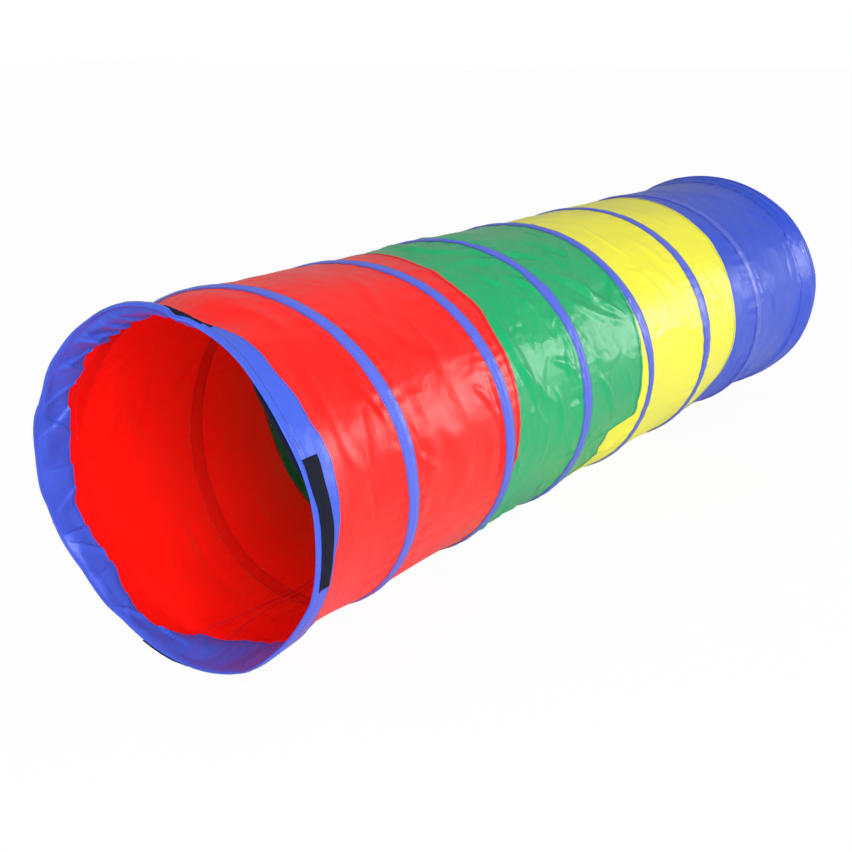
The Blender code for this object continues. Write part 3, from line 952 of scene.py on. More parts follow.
@dataclass
class Piecework:
    """What every sub-assembly needs: the tunnel's shape, its drape and how a piece is settled."""

    shape: TunnelShape
    drape: Drape
    materials: dict[str, bpy.types.Material] = field(default_factory=dict)

    def settle(
        self, mesh: bpy.types.Mesh, finish: Finish, body: Body, slot: str, *nodes: str
    ) -> bpy.types.Object:
        """Makes a piece of a mesh, which rides on a body and hides the CAD nodes that it stands for.

        Args:
            mesh: The finished mesh, whose name the piece takes and whose vertices hold its place.
            finish: The piece's finish.
            body: The body it rides on.
            slot: The record's material slot; not used.
            *nodes: The CAD nodes that it stands for.

        Returns:
            The piece, at the origin.
        """
        mesh.update()
        mesh.shade_smooth()
        piece = bpy.data.objects.new(mesh.name, mesh)
        bpy.context.scene.collection.objects.link(piece)
        if finish.name not in self.materials:
            self.materials[finish.name] = finish.material()
        mesh.materials.append(self.materials[finish.name])
        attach(piece, body.value)
        anchor = (self.shape.anchor(body), 0.0, self.shape.axis_height)
        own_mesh(piece)
        if nodes:
            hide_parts(*nodes)
        LOG.info("%s: %d faces on %s", piece.name, len(piece.data.polygons), body.value)
        return piece


@dataclass
class Stitching:
    """Rows of short stitches, gathered into one piece."""

    work: Piecework
    name: str
    gap: float = 0.0012
    thick: float = 0.0006
    length: float = 0.0034
    rows: bmesh.types.BMesh = field(default_factory=bmesh.new)

    def add_row(self, run: float, surface: Callable[[Numbers, Numbers, Numbers], Numbers]) -> None:
        """Adds a row of stitches and lays it on a surface.

        Args:
            run: The row's length.
            surface: Gives points in the room for distances along the row, beside it and over it.
        """
        count = max(1, int(run / (self.length + self.gap)))
        step = run / count
        bm = bmesh.new()
        bmesh.ops.create_uvsphere(bm, u_segments=4, v_segments=3, radius=0.5)
        bmesh.ops.scale(bm, verts=bm.verts, vec=(self.thick, self.thick, self.length))
        bmesh.ops.rotate(bm, verts=bm.verts, cent=(0, 0, 0), matrix=Matrix.Rotation(math.pi / 2, 3, "Y"))
        bmesh.ops.translate(bm, verts=bm.verts, vec=(step / 2, 0, 0))
        one = len(bm.verts), len(bm.edges), len(bm.faces)
        made = 1
        while made < count:
            take = min(made, count - made)
            geom = bm.verts[: take * one[0]] + bm.edges[: take * one[1]] + bm.faces[: take * one[2]]
            copied = bmesh.ops.duplicate(bm, geom=geom)["geom"]
            verts = [item for item in copied if isinstance(item, bmesh.types.BMVert)]
            bmesh.ops.translate(bm, verts=verts, vec=(made * step, 0, 0))
            made += take
        mesh = make_mesh("row", bm)
        points = surface(*coordinates(mesh).T)
        mesh.vertices.foreach_set("co", points.astype(np.float32).ravel())
        self.rows.from_mesh(mesh)
        bpy.data.meshes.remove(mesh)

    def add_ring(self, start: float, sweep: float, line: Callable[[Numbers], Place]) -> None:
        """Adds a row that runs round the tunnel.

        Args:
            start: Its first turn.
            sweep: How far it runs, in degrees.
            line: Gives the row's X and radius at each turn.
        """
        shape = self.work.shape

        def surface(along: Numbers, beside: Numbers, over: Numbers) -> Numbers:
            """Bends the row round the tunnel."""
            turn = start + np.degrees(along / shape.cloth_radius)
            x, radius = line(turn)
            return shape.place(x + beside, turn, radius + over)

        self.add_row(math.radians(sweep) * shape.cloth_radius, surface)

    def add_line(self, low: float, high: float, line: Callable[[Numbers], Place]) -> None:
        """Adds a row that runs along the tunnel.

        Args:
            low: Where it starts.
            high: Where it ends.
            line: Gives the row's angle and radius at each X.
        """
        shape = self.work.shape

        def surface(along: Numbers, beside: Numbers, over: Numbers) -> Numbers:
            """Lays the row along the cloth."""
            angle, radius = line(low + along)
            angle = angle + np.degrees(beside / shape.cloth_radius)
            return shape.place(low + along, angle, radius + over)

        self.add_row(high - low, surface)

    def finish(self, body: Body, slot: str) -> bpy.types.Object:
        """Makes the rows one piece that rides on a body."""
        return self.work.settle(make_mesh(self.name, self.rows), THREAD, body, slot)


@dataclass
class ClothPanel:
    """One coloured cloth tube between two seams, with its lengthwise seam along the bottom."""

    work: Piecework
    colour: str
    finish: ClothFinish
    body: Body
    index: int
    low: Callable[[Numbers], Numbers]
    high: Callable[[Numbers], Numbers]
    seam_angle: float
    seam_drift: float = 0.0
    parting: float = 0.0
    steps: int = 560
    rows: int = 168
    lap: float = 0.003
    seam_allowance: float = 0.010

    def build(self) -> bpy.types.Object:
        """Rolls the panel, lets it hang and stitches it.

        Returns:
            The panel.
        """
        shape = self.work.shape
        roll = Roll(f"{self.colour}_cloth_tube", self.rows, 0.0, 360.0, self.steps)
        angle = roll.turn % 360.0
        low = self.low(angle) - self.lap
        high = self.high(angle) + self.lap
        x = low + roll.column / self.rows * (high - low)
        radius = self.work.drape.cloth_radius(x, angle)
        radius = radius - 0.0005 * (1 - smooth_step((x - low) / 0.008))
        radius = radius + 0.0006 * smooth_step((x - high + 0.010) / 0.004)
        radius = radius - self.ridge(x, angle)
        mesh = roll.close(shape.place(x, angle, radius), x, shape.cloth_radius, flip=True)
        slot = f"{self.colour}_cloth"
        piece = self.work.settle(mesh, self.finish, self.body, slot, f"{self.colour}_panel")
        thread = self.stitch(slot)
        return piece

    def seam_at(self, x: Numbers) -> Numbers:
        """Angle of the lengthwise seam."""
        return self.seam_angle + self.seam_drift * (x - self.work.shape.seams[self.index])

    def opening(self, x: Numbers) -> Numbers:
        """Half the space between the seam's two rows, which may part where the panel starts."""
        start = self.work.shape.seams[self.index] + 0.060
        return 0.0050 + self.parting * np.exp(-np.maximum(x - start, 0.0) / 0.045)

    def ridge(self, x: Numbers, angle: Numbers) -> Numbers:
        """How far the folded seam allowance stands inwards along the lengthwise seam.

        Args:
            x: Distances along the tunnel.
            angle: Angles in degrees.

        Returns:
            The height of the ridge at each place.
        """
        around = np.radians(turned_from(angle, self.seam_at(x))) * self.work.shape.cloth_radius
        wide = np.minimum(self.opening(x), 0.0060) + 0.0022
        fold = 0.0011 * smooth_step((wide - np.abs(around)) / 0.0020)
        return fold * (0.8 + 0.2 * np.sin(x * 260))

    def inside_row(self, side: int, x: Numbers) -> Place:
        """The row of stitches on one side of the lengthwise seam, seen from inside.

        Args:
            side: -1 or 1, for the side of the seam.
            x: Distances along the tunnel.

        Returns:
            Angle and radius at each X.
        """
        shape, drape = self.work.shape, self.work.drape
        angle = self.seam_at(x) + side * np.degrees(self.opening(x) / shape.cloth_radius)
        return angle, drape.cloth_radius(x, angle % 360.0) - self.ridge(x, angle) - 0.0003

    def end_row(self, lift: float, turn: Numbers) -> Place:
        """X and radius of the row beside the seam to the next panel."""
        x = self.high(turn) - 0.0045
        return x, self.work.drape.cloth_radius(x, turn % 360.0) + lift

    def stitch(self, slot: str) -> bpy.types.Object:
        """Sews the lengthwise seam with two rows inside, and the seam to the next panel.

        Args:
            slot: The record's material slot.

        Returns:
            The stitches.
        """
        rows = Stitching(self.work, f"{self.colour}_seam_stitching", gap=0.0005, thick=0.0009)
        angles = np.array([262.0, 268.0, 274.0, 280.0])
        low = float(np.max(self.low(angles))) + 0.006
        high = float(np.min(self.high(angles))) - 0.004
        for side in (-1, 1):
            rows.add_line(low, high, partial(self.inside_row, side))
        if self.body is not Body.BLUE_SECTION:
            for lift in (0.0008, -0.0002):
                rows.add_ring(0.0, 360.0, partial(self.end_row, lift))
        return rows.finish(self.body, slot)


# Where the tape is narrow or spread: turn, reach in degrees and change of its width.
TAPE_CHANGES = (
    (200, 30, -0.10), (455, 16, 0.14), (563, 14, -0.10), (818, 7, -0.35), (832, 6, 0.12),
    (843, 6, -0.20), (856, 9, 0.22), (884, 8, -0.18), (902, 10, 0.10), (934, 14, 0.16),
    (1240, 16, 0.12), (1268, 14, -0.22), (1295, 18, -0.25), (1520, 24, -0.25), (1605, 26, 0.30),
    (1645, 12, -0.25),
)
# The cuff's two faces: depth as a share of the width, and height off the taut cloth in 0.1 mm.
CUFF_INNER = (
    (1.0, 12), (0.97, 12), (0.93, 12), (0.88, 12), (0.80, 12), (0.73, 12.5), (0.66, 13),
    *((share, 13) for share in (0.60, 0.55, 0.50, 0.45, 0.40, 0.35, 0.30)),
    (0.26, 12), (0.22, 11), (0.18, 10), (0.15, 9), (0.115, 8), (0.08, 7),
)
CUFF_OUTER = (
    (0.05, 25), (0.09, 24), (0.12, 22), (0.145, 20), (0.17, 18), (0.20, 17.5), (0.25, 18),
    *((share, 18) for share in (0.30, 0.36, 0.42, 0.48, 0.54, 0.60, 0.66, 0.72, 0.78)),
    (0.84, 17), (0.90, 15), (0.95, 12), (0.985, 10), (1.0, 8),
)
# Where the rings of a crimp sleeve lie, as shares of its length; they are closer at its pinches.
SLEEVE_RINGS = (
    0.06, 0.12, 0.18, 0.24, 0.30, 0.36, 0.43, 0.5, 0.57, 0.64, 0.70, 0.76, 0.82, 0.88, 0.94, 1.0,
)


@dataclass
class ChannelTape:
    """The tape that holds the coil on the outside of the cloth, sewn down along both edges."""

    work: Piecework
    front_seam: Callable[[Numbers], Numbers]
    rear_seam: Callable[[Numbers], Numbers]
    steps_a_turn: int = 400
    columns: int = 17
    flange: float = 0.0009
    thick: float = 0.0006
    least_lift: float = 0.0004
    arch: float = 0.0022
    arch_half: float = 0.0052
    rest: float = 0.0003
    edge_over: float = 0.0009
    pucker: float = 0.00050
    pucker_at: float = 0.0082
    pucker_reach: float = 0.0034
    waver_by: float = 0.030
    row_inset: float = 0.0022
    row_stops: float = 14.0
    puckers: tuple[Gathers, Gathers] = (Gathers(37, 2.1, 4.1), Gathers(71, 1.7, 9.3))
    waver: Gathers = Gathers(23, 1.5, 6)

    def over(self, across: Numbers, turn: Numbers) -> Numbers:
        """Height of the tape's face over the cloth, with the puckers that its seams draw.

        Args:
            across: Distances from the tape's middle line.
            turn: Turns in degrees.

        Returns:
            The height at each place.
        """
        half = self.work.shape.tape_width / 2
        edge = smooth_step((half - np.abs(across)) / self.edge_over)
        rise = self.arch * swell(across, 0.0, self.arch_half)
        t = np.radians(turn)
        wide, narrow = self.puckers
        wave = 1 + wide.at(t, 55 * across) + 0.6 * narrow.at(t, -90 * across)
        pucker = self.pucker * wave * swell(np.abs(across), self.pucker_at, self.pucker_reach)
        return self.flange * edge + self.rest + rise + pucker

    def width_share(self, turn: Numbers, side: Numbers) -> Numbers:
        """How each edge of the tape wavers along it, with a few narrow and a few spread places.

        Args:
            turn: Turns in degrees.
            side: -1 for the front edge and 1 for the rear edge.

        Returns:
            What the tape's width is multiplied by at each place.
        """
        t = np.radians(turn)
        share = 1.0 + self.waver_by * (np.sin(7.3 * t + 1 + side) + self.waver.at(t, 2 * side))
        for at, reach, change in TAPE_CHANGES:
            share = share + change * swell(turn, at, reach)
        return share

    def reach(self) -> tuple[float, float]:
        """Finds where the tape comes out from under one cuff and goes in under the other.

        Returns:
            The first turn and the last.
        """
        shape = self.work.shape
        turns = np.arange(shape.leave_turn, shape.arrive_turn, 0.5)
        line, half = shape.coil(turns), shape.tape_width / 2
        out = (line + half > self.front_seam(turns % 360.0)) & (line - half < self.rear_seam(turns % 360.0))
        return float(turns[out][0]) - 1.0, float(turns[out][-1]) + 1.0

    def build(self) -> bpy.types.Object:
        """Rolls the tape's section along the coil, lays it on the cloth and sews it down.

        Returns:
            The tape.
        """
        shape, drape = self.work.shape, self.work.drape
        start, end = self.reach()
        steps = int((end - start) / 360 * self.steps_a_turn)
        roll = Roll("coil_tape", 2 * self.columns + 2, start, end - start, steps)
        share, face = roll.band(self.columns)
        across = shape.tape_width * (share - 0.5)
        x = shape.coil(roll.turn) + across * self.width_share(roll.turn, np.sign(across))
        angle = roll.turn % 360.0
        low, high = self.front_seam(angle) - 0.004, self.rear_seam(angle) + 0.004
        x = np.clip(x, low, high)
        lift = self.over(across, roll.turn)
        lift = np.where(face > 0.5, lift, np.maximum(lift - self.thick, self.least_lift))
        lift = lift * smooth_step(np.minimum(x - low, high - x) / 0.005)
        points = shape.place(x, angle, drape.cloth_radius(x, angle) + lift)
        mesh = roll.close(points, across, shape.cloth_radius, solid=True, tidy=1e-5)
        piece = self.work.settle(mesh, TAPE, Body.FRONT_END, "violet_cloth", "wire_channel_tape")
        rows = Stitching(self.work, "tape_stitching", thick=0.0008)
        for side, outside in ((-1, True), (-1, False), (1, True), (1, False)):
            row = partial(self.edge_row, side, outside)
            rows.add_ring(start + self.row_stops, end - start - 2 * self.row_stops, row)
        thread = rows.finish(Body.FRONT_END, "violet_cloth")
        return piece

    def edge_row(self, side: int, outside: bool, turn: Numbers) -> Place:
        """A row of stitches along one edge of the tape.

        Args:
            side: -1 for the front edge and 1 for the rear edge.
            outside: Whether it is the thread that shows outside.
            turn: Turns in degrees.

        Returns:
            X and radius at each turn.
        """
        across = side * (self.work.shape.tape_width / 2 - self.row_inset)
        x = self.work.shape.coil(turn) + across * self.width_share(turn, side)
        lift = self.over(across, turn) if outside else -0.0002
        return x, self.work.drape.cloth_radius(x, turn % 360.0) + lift


@dataclass(frozen=True)
class Pleat:
    """A tuck in a cuff's inner face: it swells one way and drops back sharply at its fold."""

    angle: float
    width: float
    height: float
    slant: float = 0.0
    drop: float = 0.45

    def lift(self, angle: Numbers, inward: Numbers) -> Numbers:
        """How far the tuck stands inwards.

        Args:
            angle: Angles in degrees.
            inward: How far from the hoop to the seam, from 0 to 1.

        Returns:
            The height of the tuck at each place.
        """
        t = turned_from(angle, self.angle + self.slant * (inward - 1)) / self.width
        before = smooth_step(1 + t) * (t <= 0)
        after = swell(np.maximum(t, 0) * self.width, 0.0, self.drop) * (t > 0)
        return self.height * (before + after) * smooth_step(inward / 0.55)


@dataclass(frozen=True)
class Lip:
    """How a cuff's loose edge stands past its hoop: how far forward, and how far it droops there."""

    forward: RingCurve
    droop: RingCurve


@dataclass
class MouthCuff:
    """A doubled cloth cuff folded over an end hoop, with the hoop wire inside its edge."""

    work: Piecework
    name: str
    end: End
    body: Body
    finish: ClothFinish
    slot: str
    inner_seam: RingCurve
    outer_seam: RingCurve
    lip: Lip
    pleats: tuple[Pleat, ...]
    seed: float
    sleeve_at: float
    steps: int = 1040
    fold_radius: float = 0.0015
    fold_out: float = 0.0009
    hem_seam: float = 0.0085
    seam_inset: float = 0.0030
    lead: float = 0.0030
    lead_over: float = 0.030
    wire_room: float = 0.0009
    sleeve_room: float = 0.0014
    sleeve_reach: float = 5.0
    wire_ridge: float = 0.0016
    ridge_reach: float = 0.0045
    bead: float = 0.0008
    outer_flutter: float = 0.0006
    inner_flutter: float = 0.0003
    ripple: float = 0.0012
    gathers: tuple[Gathers, Gathers] = (Gathers(29, 1.3, 3), Gathers(52, 2.1, 4))

    def profile(self) -> Numbers:
        """Lists the cuff's section from the inner seam round the edge to the outer seam.

        Returns:
            Rows of depth, height over the taut cloth, and 1 round the hem or 0 elsewhere.
        """
        r = self.fold_radius
        rows = [(share, -0.0001 * height, 0.0) for share, height in CUFF_INNER]
        for i in range(13):
            a = math.radians(-90 - 15 * i)
            rows.append((1.6 * r * math.cos(a), self.fold_out + r * math.sin(a), 1.0))
        return np.array(rows + [(share, 0.0001 * height, 0.0) for share, height in CUFF_OUTER])

    def width_at(self, angle: Numbers, outside: Numbers | bool) -> Numbers:
        """How wide the cuff's outer or inner face is."""
        return np.where(outside, self.outer_seam.at(angle), self.inner_seam.at(angle))

    def wire_depth(self, angle: Numbers) -> Numbers:
        """How deep the wire lies in the cuff on its way to the coil.

        Args:
            angle: Angles in degrees.

        Returns:
            The depth at each angle.
        """
        shape = self.work.shape
        way, leaves = (1, shape.leave_turn) if self.end is End.FRONT else (-1, shape.arrive_turn)
        turn = leaves + way * ((way * (angle - leaves)) % 360.0)
        return shape.depth(self.end, shape.coil(turn), angle, shape.cloth_radius)

    def pucker(self, angle: Numbers) -> Numbers:
        """The small gathers that the cuff's seams make.

        Args:
            angle: Angles in degrees.

        Returns:
            Their height at each angle, between about -1 and 1.
        """
        t = np.radians(angle)
        wide, narrow = self.gathers
        wave = wide.at(t, self.seed) * (0.6 + 0.4 * np.sin(5 * t + self.seed))
        return 0.6 * wave + 0.4 * narrow.at(t, twist=self.seed)

    def face(self, depth: Numbers, angle: Numbers, outside: bool, lift: float = 0.0) -> Place:
        """A place on the cuff's outer or inner face, for a strip or a stitch.

        Args:
            depth: How far in from the hoop.
            angle: Angles in degrees.
            outside: Whether it is on the outer face.
            lift: How far off the face it lies.

        Returns:
            X and radius.
        """
        rows = self.profile()
        part = rows[rows[:, 2] < 0.5]
        part = part[part[:, 1] > 0] if outside else part[part[:, 1] < 0][::-1]
        angle = np.asarray(angle, float)
        share = np.broadcast_to(depth, angle.shape) / self.width_at(angle, outside)
        height = np.interp(share, part[:, 0], part[:, 1])
        x, radius = self.shaped(share, height, np.zeros(angle.shape), angle, np.full(angle.shape, outside))
        return x, radius + (lift if outside else -lift)

    def hem_cover(self, radius: Numbers, depth: Numbers, angle: Numbers, outside: Numbers) -> Numbers:
        """Keeps both faces clear of the hoop's wire and of the sleeve on it.

        Args:
            radius: The faces' radii.
            depth: How far in from the hoop.
            angle: Angles in degrees.
            outside: Whether each place is on the outer face.

        Returns:
            How far each place moves outwards.
        """
        shape = self.work.shape
        side = np.where(outside, 1.0, -1.0)
        off_sleeve = turned_from(angle, self.sleeve_at)
        sleeve = self.sleeve_room * swell(off_sleeve, 0.0, self.sleeve_reach, 4)
        room = side * (shape.hoop_radius - radius) + shape.wire / 2 + self.wire_room + sleeve
        return side * np.maximum(room, 0.0) * swell(depth, 0.0016, 0.0052, 4)

    def gathered(self, depth: Numbers, inward: Numbers, angle: Numbers, outside: Numbers) -> Numbers:
        """The gathers of both faces, and the tucks, ripples and slack of the inner one.

        Args:
            depth: How far in from the hoop.
            inward: The same as a share of the face's width.
            angle: Angles in degrees.
            outside: 1 on the outer face and 0 on the inner one.

        Returns:
            How far each place moves outwards.
        """
        near_seams = swell(depth, 0.008, 0.006) + 0.7 * smooth_step((inward - 0.5) / 0.5)
        gathers = self.pucker(angle + 40 * (1 - outside))
        outer = self.outer_flutter * outside * gathers
        inner = self.inner_flutter * (1 - outside) * (gathers - 1)
        wave = 1 + np.sin(np.radians(9 * angle + 200 * inward))
        ripple = self.ripple * wave * smooth_step(inward * (1 - inward) * 4)
        tuck = sum((pleat.lift(angle, inward) for pleat in self.pleats), np.zeros(np.shape(depth)))
        slack = 0.0
        if self.end is End.FRONT:
            slack = self.work.drape.lining_lift.at(angle) * smooth_step(inward)
        return (outer + inner) * near_seams - (tuck + ripple + slack) * (1 - outside)

    def shaped(
        self, share: Numbers, height: Numbers, hem: Numbers, angle: Numbers, outside: Numbers
    ) -> Place:
        """Turns rows of the profile into X and radius, with the cuff's lip, gathers and tucks.

        Args:
            share: Depth as a share of the cuff's width, or in metres round the hem.
            height: Height over the taut cloth, or from the hoop's wire round the hem.
            hem: 1 for rows round the hem and 0 elsewhere.
            angle: Angles in degrees.
            outside: Whether each row is on the outer face.

        Returns:
            X and radius.
        """
        shape, drape = self.work.shape, self.work.drape
        width = self.width_at(angle, outside)
        round_hem = hem > 0.5
        depth = np.where(round_hem, share, share * width)
        forward = self.lip.forward.at(angle)
        inward = np.clip(depth / width, 0, 1)
        share_of_lead = 1 - smooth_step(depth / np.minimum(self.lead_over, 0.8 * width))
        depth = depth - (forward + self.lead) * share_of_lead
        skin = drape.skin(shape.from_mouth(self.end, angle, shape.cloth_radius, depth), angle)
        wobble = 1 + 0.06 * self.pucker(angle)
        radius = np.where(round_hem, shape.hoop_radius + height * wobble, skin + height)
        past = np.clip((-0.0015 - depth) / np.maximum(forward, 0.004), 0, 1)
        radius = radius - self.lip.droop.at(angle) * smooth_step(past)
        radius = radius + self.hem_cover(radius, depth, angle, outside)
        wire = self.wire_depth(angle)
        ridge = self.wire_ridge * swell(depth, wire, self.ridge_reach)
        radius = radius + ridge * smooth_step(wire / 0.010) * outside
        bead = swell(depth, 0.0030, 0.0045, 4) - 0.7 * swell(depth, 0.0092, 0.0014)
        radius = radius + self.bead * bead * outside * (1 - round_hem)
        radius = radius + np.where(round_hem, 0.0, self.gathered(depth, inward, angle, outside))
        return shape.from_mouth(self.end, angle, radius, depth), radius

    def build(self) -> bpy.types.Object:
        """Rolls the cuff's skin, shapes it, and sews in the wire and the seam to the panel.

        Returns:
            The cuff.
        """
        shape = self.work.shape
        rows = self.profile()
        roll = Roll(f"{self.name}_cloth", len(rows) - 1, 0.0, 360.0, self.steps)
        share, height, hem = rows[roll.column].T
        outside = (roll.column > np.argmin(rows[:, 0])).astype(float)
        angle = roll.turn % 360.0
        x, radius = self.shaped(share, height, hem, angle, outside)
        steps = np.hypot(np.diff(rows[:, 0]), np.diff(rows[:, 1]))
        steps = np.where(rows[1:, 2] > 0.5, steps, np.abs(np.diff(rows[:, 0])) * shape.cuff_width)
        run = np.concatenate([[0.0], np.cumsum(steps)])[roll.column]
        points = shape.place(x, angle, radius)
        mesh = roll.close(points, run, shape.cloth_radius, flip=self.end is End.FRONT)
        piece = self.work.settle(mesh, self.finish, self.body, self.slot, self.name)
        sewn = Stitching(self.work, f"{self.name}_stitching", gap=0.0014)
        sewn.add_ring(0.0, 360.0, self.hem_row)
        for outer in (True, False):
            sewn.add_ring(0.0, 360.0, partial(self.seam_row, outer))
        thread = sewn.finish(self.body, self.slot)
        return piece

    def hem_row(self, turn: Numbers) -> Place:
        """X and radius of the stitches that hold the wire in the hem."""
        return self.face(self.hem_seam, turn % 360.0, True, 0.0001)

    def seam_row(self, outside: bool, turn: Numbers) -> Place:
        """X and radius of the stitches beside the seam to the panel."""
        angle = turn % 360.0
        return self.face(self.width_at(angle, outside) - self.seam_inset, angle, outside, 0.0001)


@dataclass
class HookStrip:
    """A black hook-and-loop strip sewn flat on a cuff."""

    name: str
    cuff: MouthCuff
    start: float
    low: RingCurve
    high: RingCurve
    outside: bool
    sweep: float = 41.0
    thick: float = 0.0014
    edge_thick: float = 0.55
    edge_over: float = 0.0020
    row_at: float = 0.0024
    row_reach: float = 0.0007
    drawn_in: float = 0.35
    columns: int = 14

    def true_width(self) -> float:
        """Measures the strip's width over the cuff's curve, midway along it.

        Returns:
            The width.
        """
        angle = np.full(41, (self.start + self.sweep / 2) % 360.0)
        low, high = self.low.at(angle), self.high.at(angle)
        x, radius = self.cuff.face(low + (high - low) * np.linspace(0, 1, 41), angle, self.outside)
        return round(float(np.hypot(np.diff(x), np.diff(radius)).sum()), 4)

    def build(self) -> bpy.types.Object:
        """Bends the strip onto the cuff's face, rounds its edge and draws it in along its border.

        Returns:
            The strip.
        """
        work = self.cuff.work
        shape = work.shape
        steps = int(self.sweep / 0.5)
        roll = Roll(f"{self.name}_tape", 2 * self.columns + 2, self.start, self.sweep, steps)
        share, face = roll.band(self.columns)
        angle = roll.turn % 360.0
        low, wide = self.low.at(angle), self.high.at(angle) - self.low.at(angle)
        across = share * wide
        end_gap = np.minimum(roll.turn - self.start, self.start + self.sweep - roll.turn)
        edge = np.minimum(across, wide - across)
        edge = np.minimum(edge, np.radians(end_gap) * shape.cloth_radius)
        pillow = self.edge_thick + (1 - self.edge_thick) * smooth_step(edge / self.edge_over)
        sewn = 1 - self.drawn_in * swell(edge, self.row_at, self.row_reach)
        x, radius = self.cuff.face(low + across, angle, self.outside)
        way = 1.0 if self.outside else -1.0
        radius = radius + way * (0.0001 + self.thick * face * pillow * sewn)
        mesh = roll.close(shape.place(x, angle, radius), across, shape.cloth_radius, solid=True)
        piece = work.settle(mesh, HOOK_STRIP, self.cuff.body, "black_strip", self.name)
        flat = (self.true_width(), math.radians(self.sweep) * shape.hoop_radius)
        return piece


@dataclass
class SpringWire:
    """The one wire that makes both hoops and the coil between them."""

    work: Piecework
    first_turn: float = -408.0
    last_turn: float = 2733.0
    steps_a_turn: int = 120
    sides: int = 8

    def radius_at(self, x: Numbers, turn: Numbers) -> Numbers:
        """Radius of the wire's own line, in from each hoop to just over the body's cloth.

        Args:
            x: Distances along the tunnel.
            turn: Turns in degrees.

        Returns:
            The radius at each place.
        """
        shape, drape = self.work.shape, self.work.drape
        angle = turn % 360.0
        depth = np.minimum(*(shape.depth(end, x, angle, shape.hoop_radius) for end in End))
        lying = drape.cloth_radius(x, angle) + 0.0003 + shape.wire / 2
        share = smooth_step((depth - 0.0045) / 0.020)
        return shape.hoop_radius * (1 - share) + lying * share

    def build(self) -> bpy.types.Object:
        """Rolls a round section along the wire's whole route.

        Returns:
            The wire.
        """
        shape = self.work.shape
        sweep = self.last_turn - self.first_turn
        steps = int(sweep / 360 * self.steps_a_turn)
        roll = Roll("coil_wire", self.sides, self.first_turn, sweep, steps)
        a = 2 * math.pi * (roll.column % self.sides) / self.sides
        line = shape.wire_x(roll.turn)
        radius = self.radius_at(line, roll.turn) + shape.wire / 2 * np.sin(a)
        points = shape.place(line + shape.wire / 2 * np.cos(a), roll.turn, radius)
        mesh = roll.close(points, 0.001 * roll.column, shape.hoop_radius, solid=True)
        return self.work.settle(mesh, STEEL, Body.FRONT_END, "steel_wire", "spring_wire")


@dataclass
class CrimpSleeve:
    """The crimped sleeve that closes a hoop over two passes of the wire."""

    wire: SpringWire
    name: str
    body: Body
    turn: float
    other: float
    wall: float = 0.0006
    length: float = 0.014
    ease: float = 0.0003
    pinches: tuple[float, float] = (0.28, 0.72)
    pinch_reach: float = 0.08
    pinch_depth: float = 0.10

    def centre(self, turn: float) -> Vector:
        """A point on the wire's line, in the room."""
        shape, at = self.wire.work.shape, np.array([turn])
        x = shape.wire_x(at)
        return Vector(shape.place(x, at, self.wire.radius_at(x, at))[0])

    def build(self) -> bpy.types.Object:
        """Draws the flattened tube, pinches it twice and lays it along the wires.

        Returns:
            The sleeve.
        """
        shape = self.wire.work.shape
        step = 2 * shape.half_flat
        near = self.centre(self.turn), self.centre(self.turn + step)
        far = self.centre(self.other), self.centre(self.other + step)
        middle = sum((*near, *far), Vector()) / 4
        along = (near[1] - near[0] + far[1] - far[0]).normalized()
        apart = ((near[0] + near[1]) - (far[0] + far[1])) / 2
        across = (apart - along * apart.dot(along)).normalized()
        bore = shape.wire / 2 + self.ease
        bm = bmesh.new()
        circle = bmesh.ops.create_circle(bm, segments=24, radius=bore, cap_ends=False)["verts"]
        for vert in circle:
            vert.co.x += math.copysign(apart.length / 2, vert.co.x)
        ring = bm.edges[:]
        for share in SLEEVE_RINGS:
            made = bmesh.ops.extrude_edge_only(bm, edges=ring)["geom"]
            ring = [e for e in made if isinstance(e, bmesh.types.BMEdge)]
            for vert in (v for v in made if isinstance(v, bmesh.types.BMVert)):
                vert.co.z = self.length * share
        for vert in bm.verts:
            share = vert.co.z / self.length
            pinch = sum(swell(share, at, self.pinch_reach) for at in self.pinches)
            vert.co.y *= 1 - self.pinch_depth * pinch
        bmesh.ops.recalc_face_normals(bm, faces=bm.faces)
        bmesh.ops.solidify(bm, geom=bm.faces[:], thickness=-self.wall)
        bmesh.ops.recalc_face_normals(bm, faces=bm.faces)
        bmesh.ops.translate(bm, verts=bm.verts, vec=(0, 0, -self.length / 2))
        turned = Matrix((across, along.cross(across), along)).transposed().to_4x4()
        bmesh.ops.transform(bm, matrix=Matrix.Translation(middle) @ turned, verts=bm.verts)
        mesh = make_mesh(f"{self.name}_metal", bm)
        return self.wire.work.settle(mesh, SLEEVE_METAL, self.body, "sleeve", self.name)


@dataclass(frozen=True)
class Lamp:
    """A rectangular soft light."""

    name: str
    place: Point
    aim: Point
    size: tuple[float, float]
    power: float

    def build(self) -> None:
        """Hangs the light and turns it to what it faces."""
        light = bpy.data.lights.new(self.name, "AREA")
        light.shape = "RECTANGLE"
        light.size, light.size_y = self.size
        light.energy = self.power
        lamp = bpy.data.objects.new(self.name, light)
        lamp.location = self.place
        way = Vector(self.aim) - Vector(self.place)
        lamp.rotation_euler = way.to_track_quat("-Z", "Y").to_euler()
        bpy.context.scene.collection.objects.link(lamp)


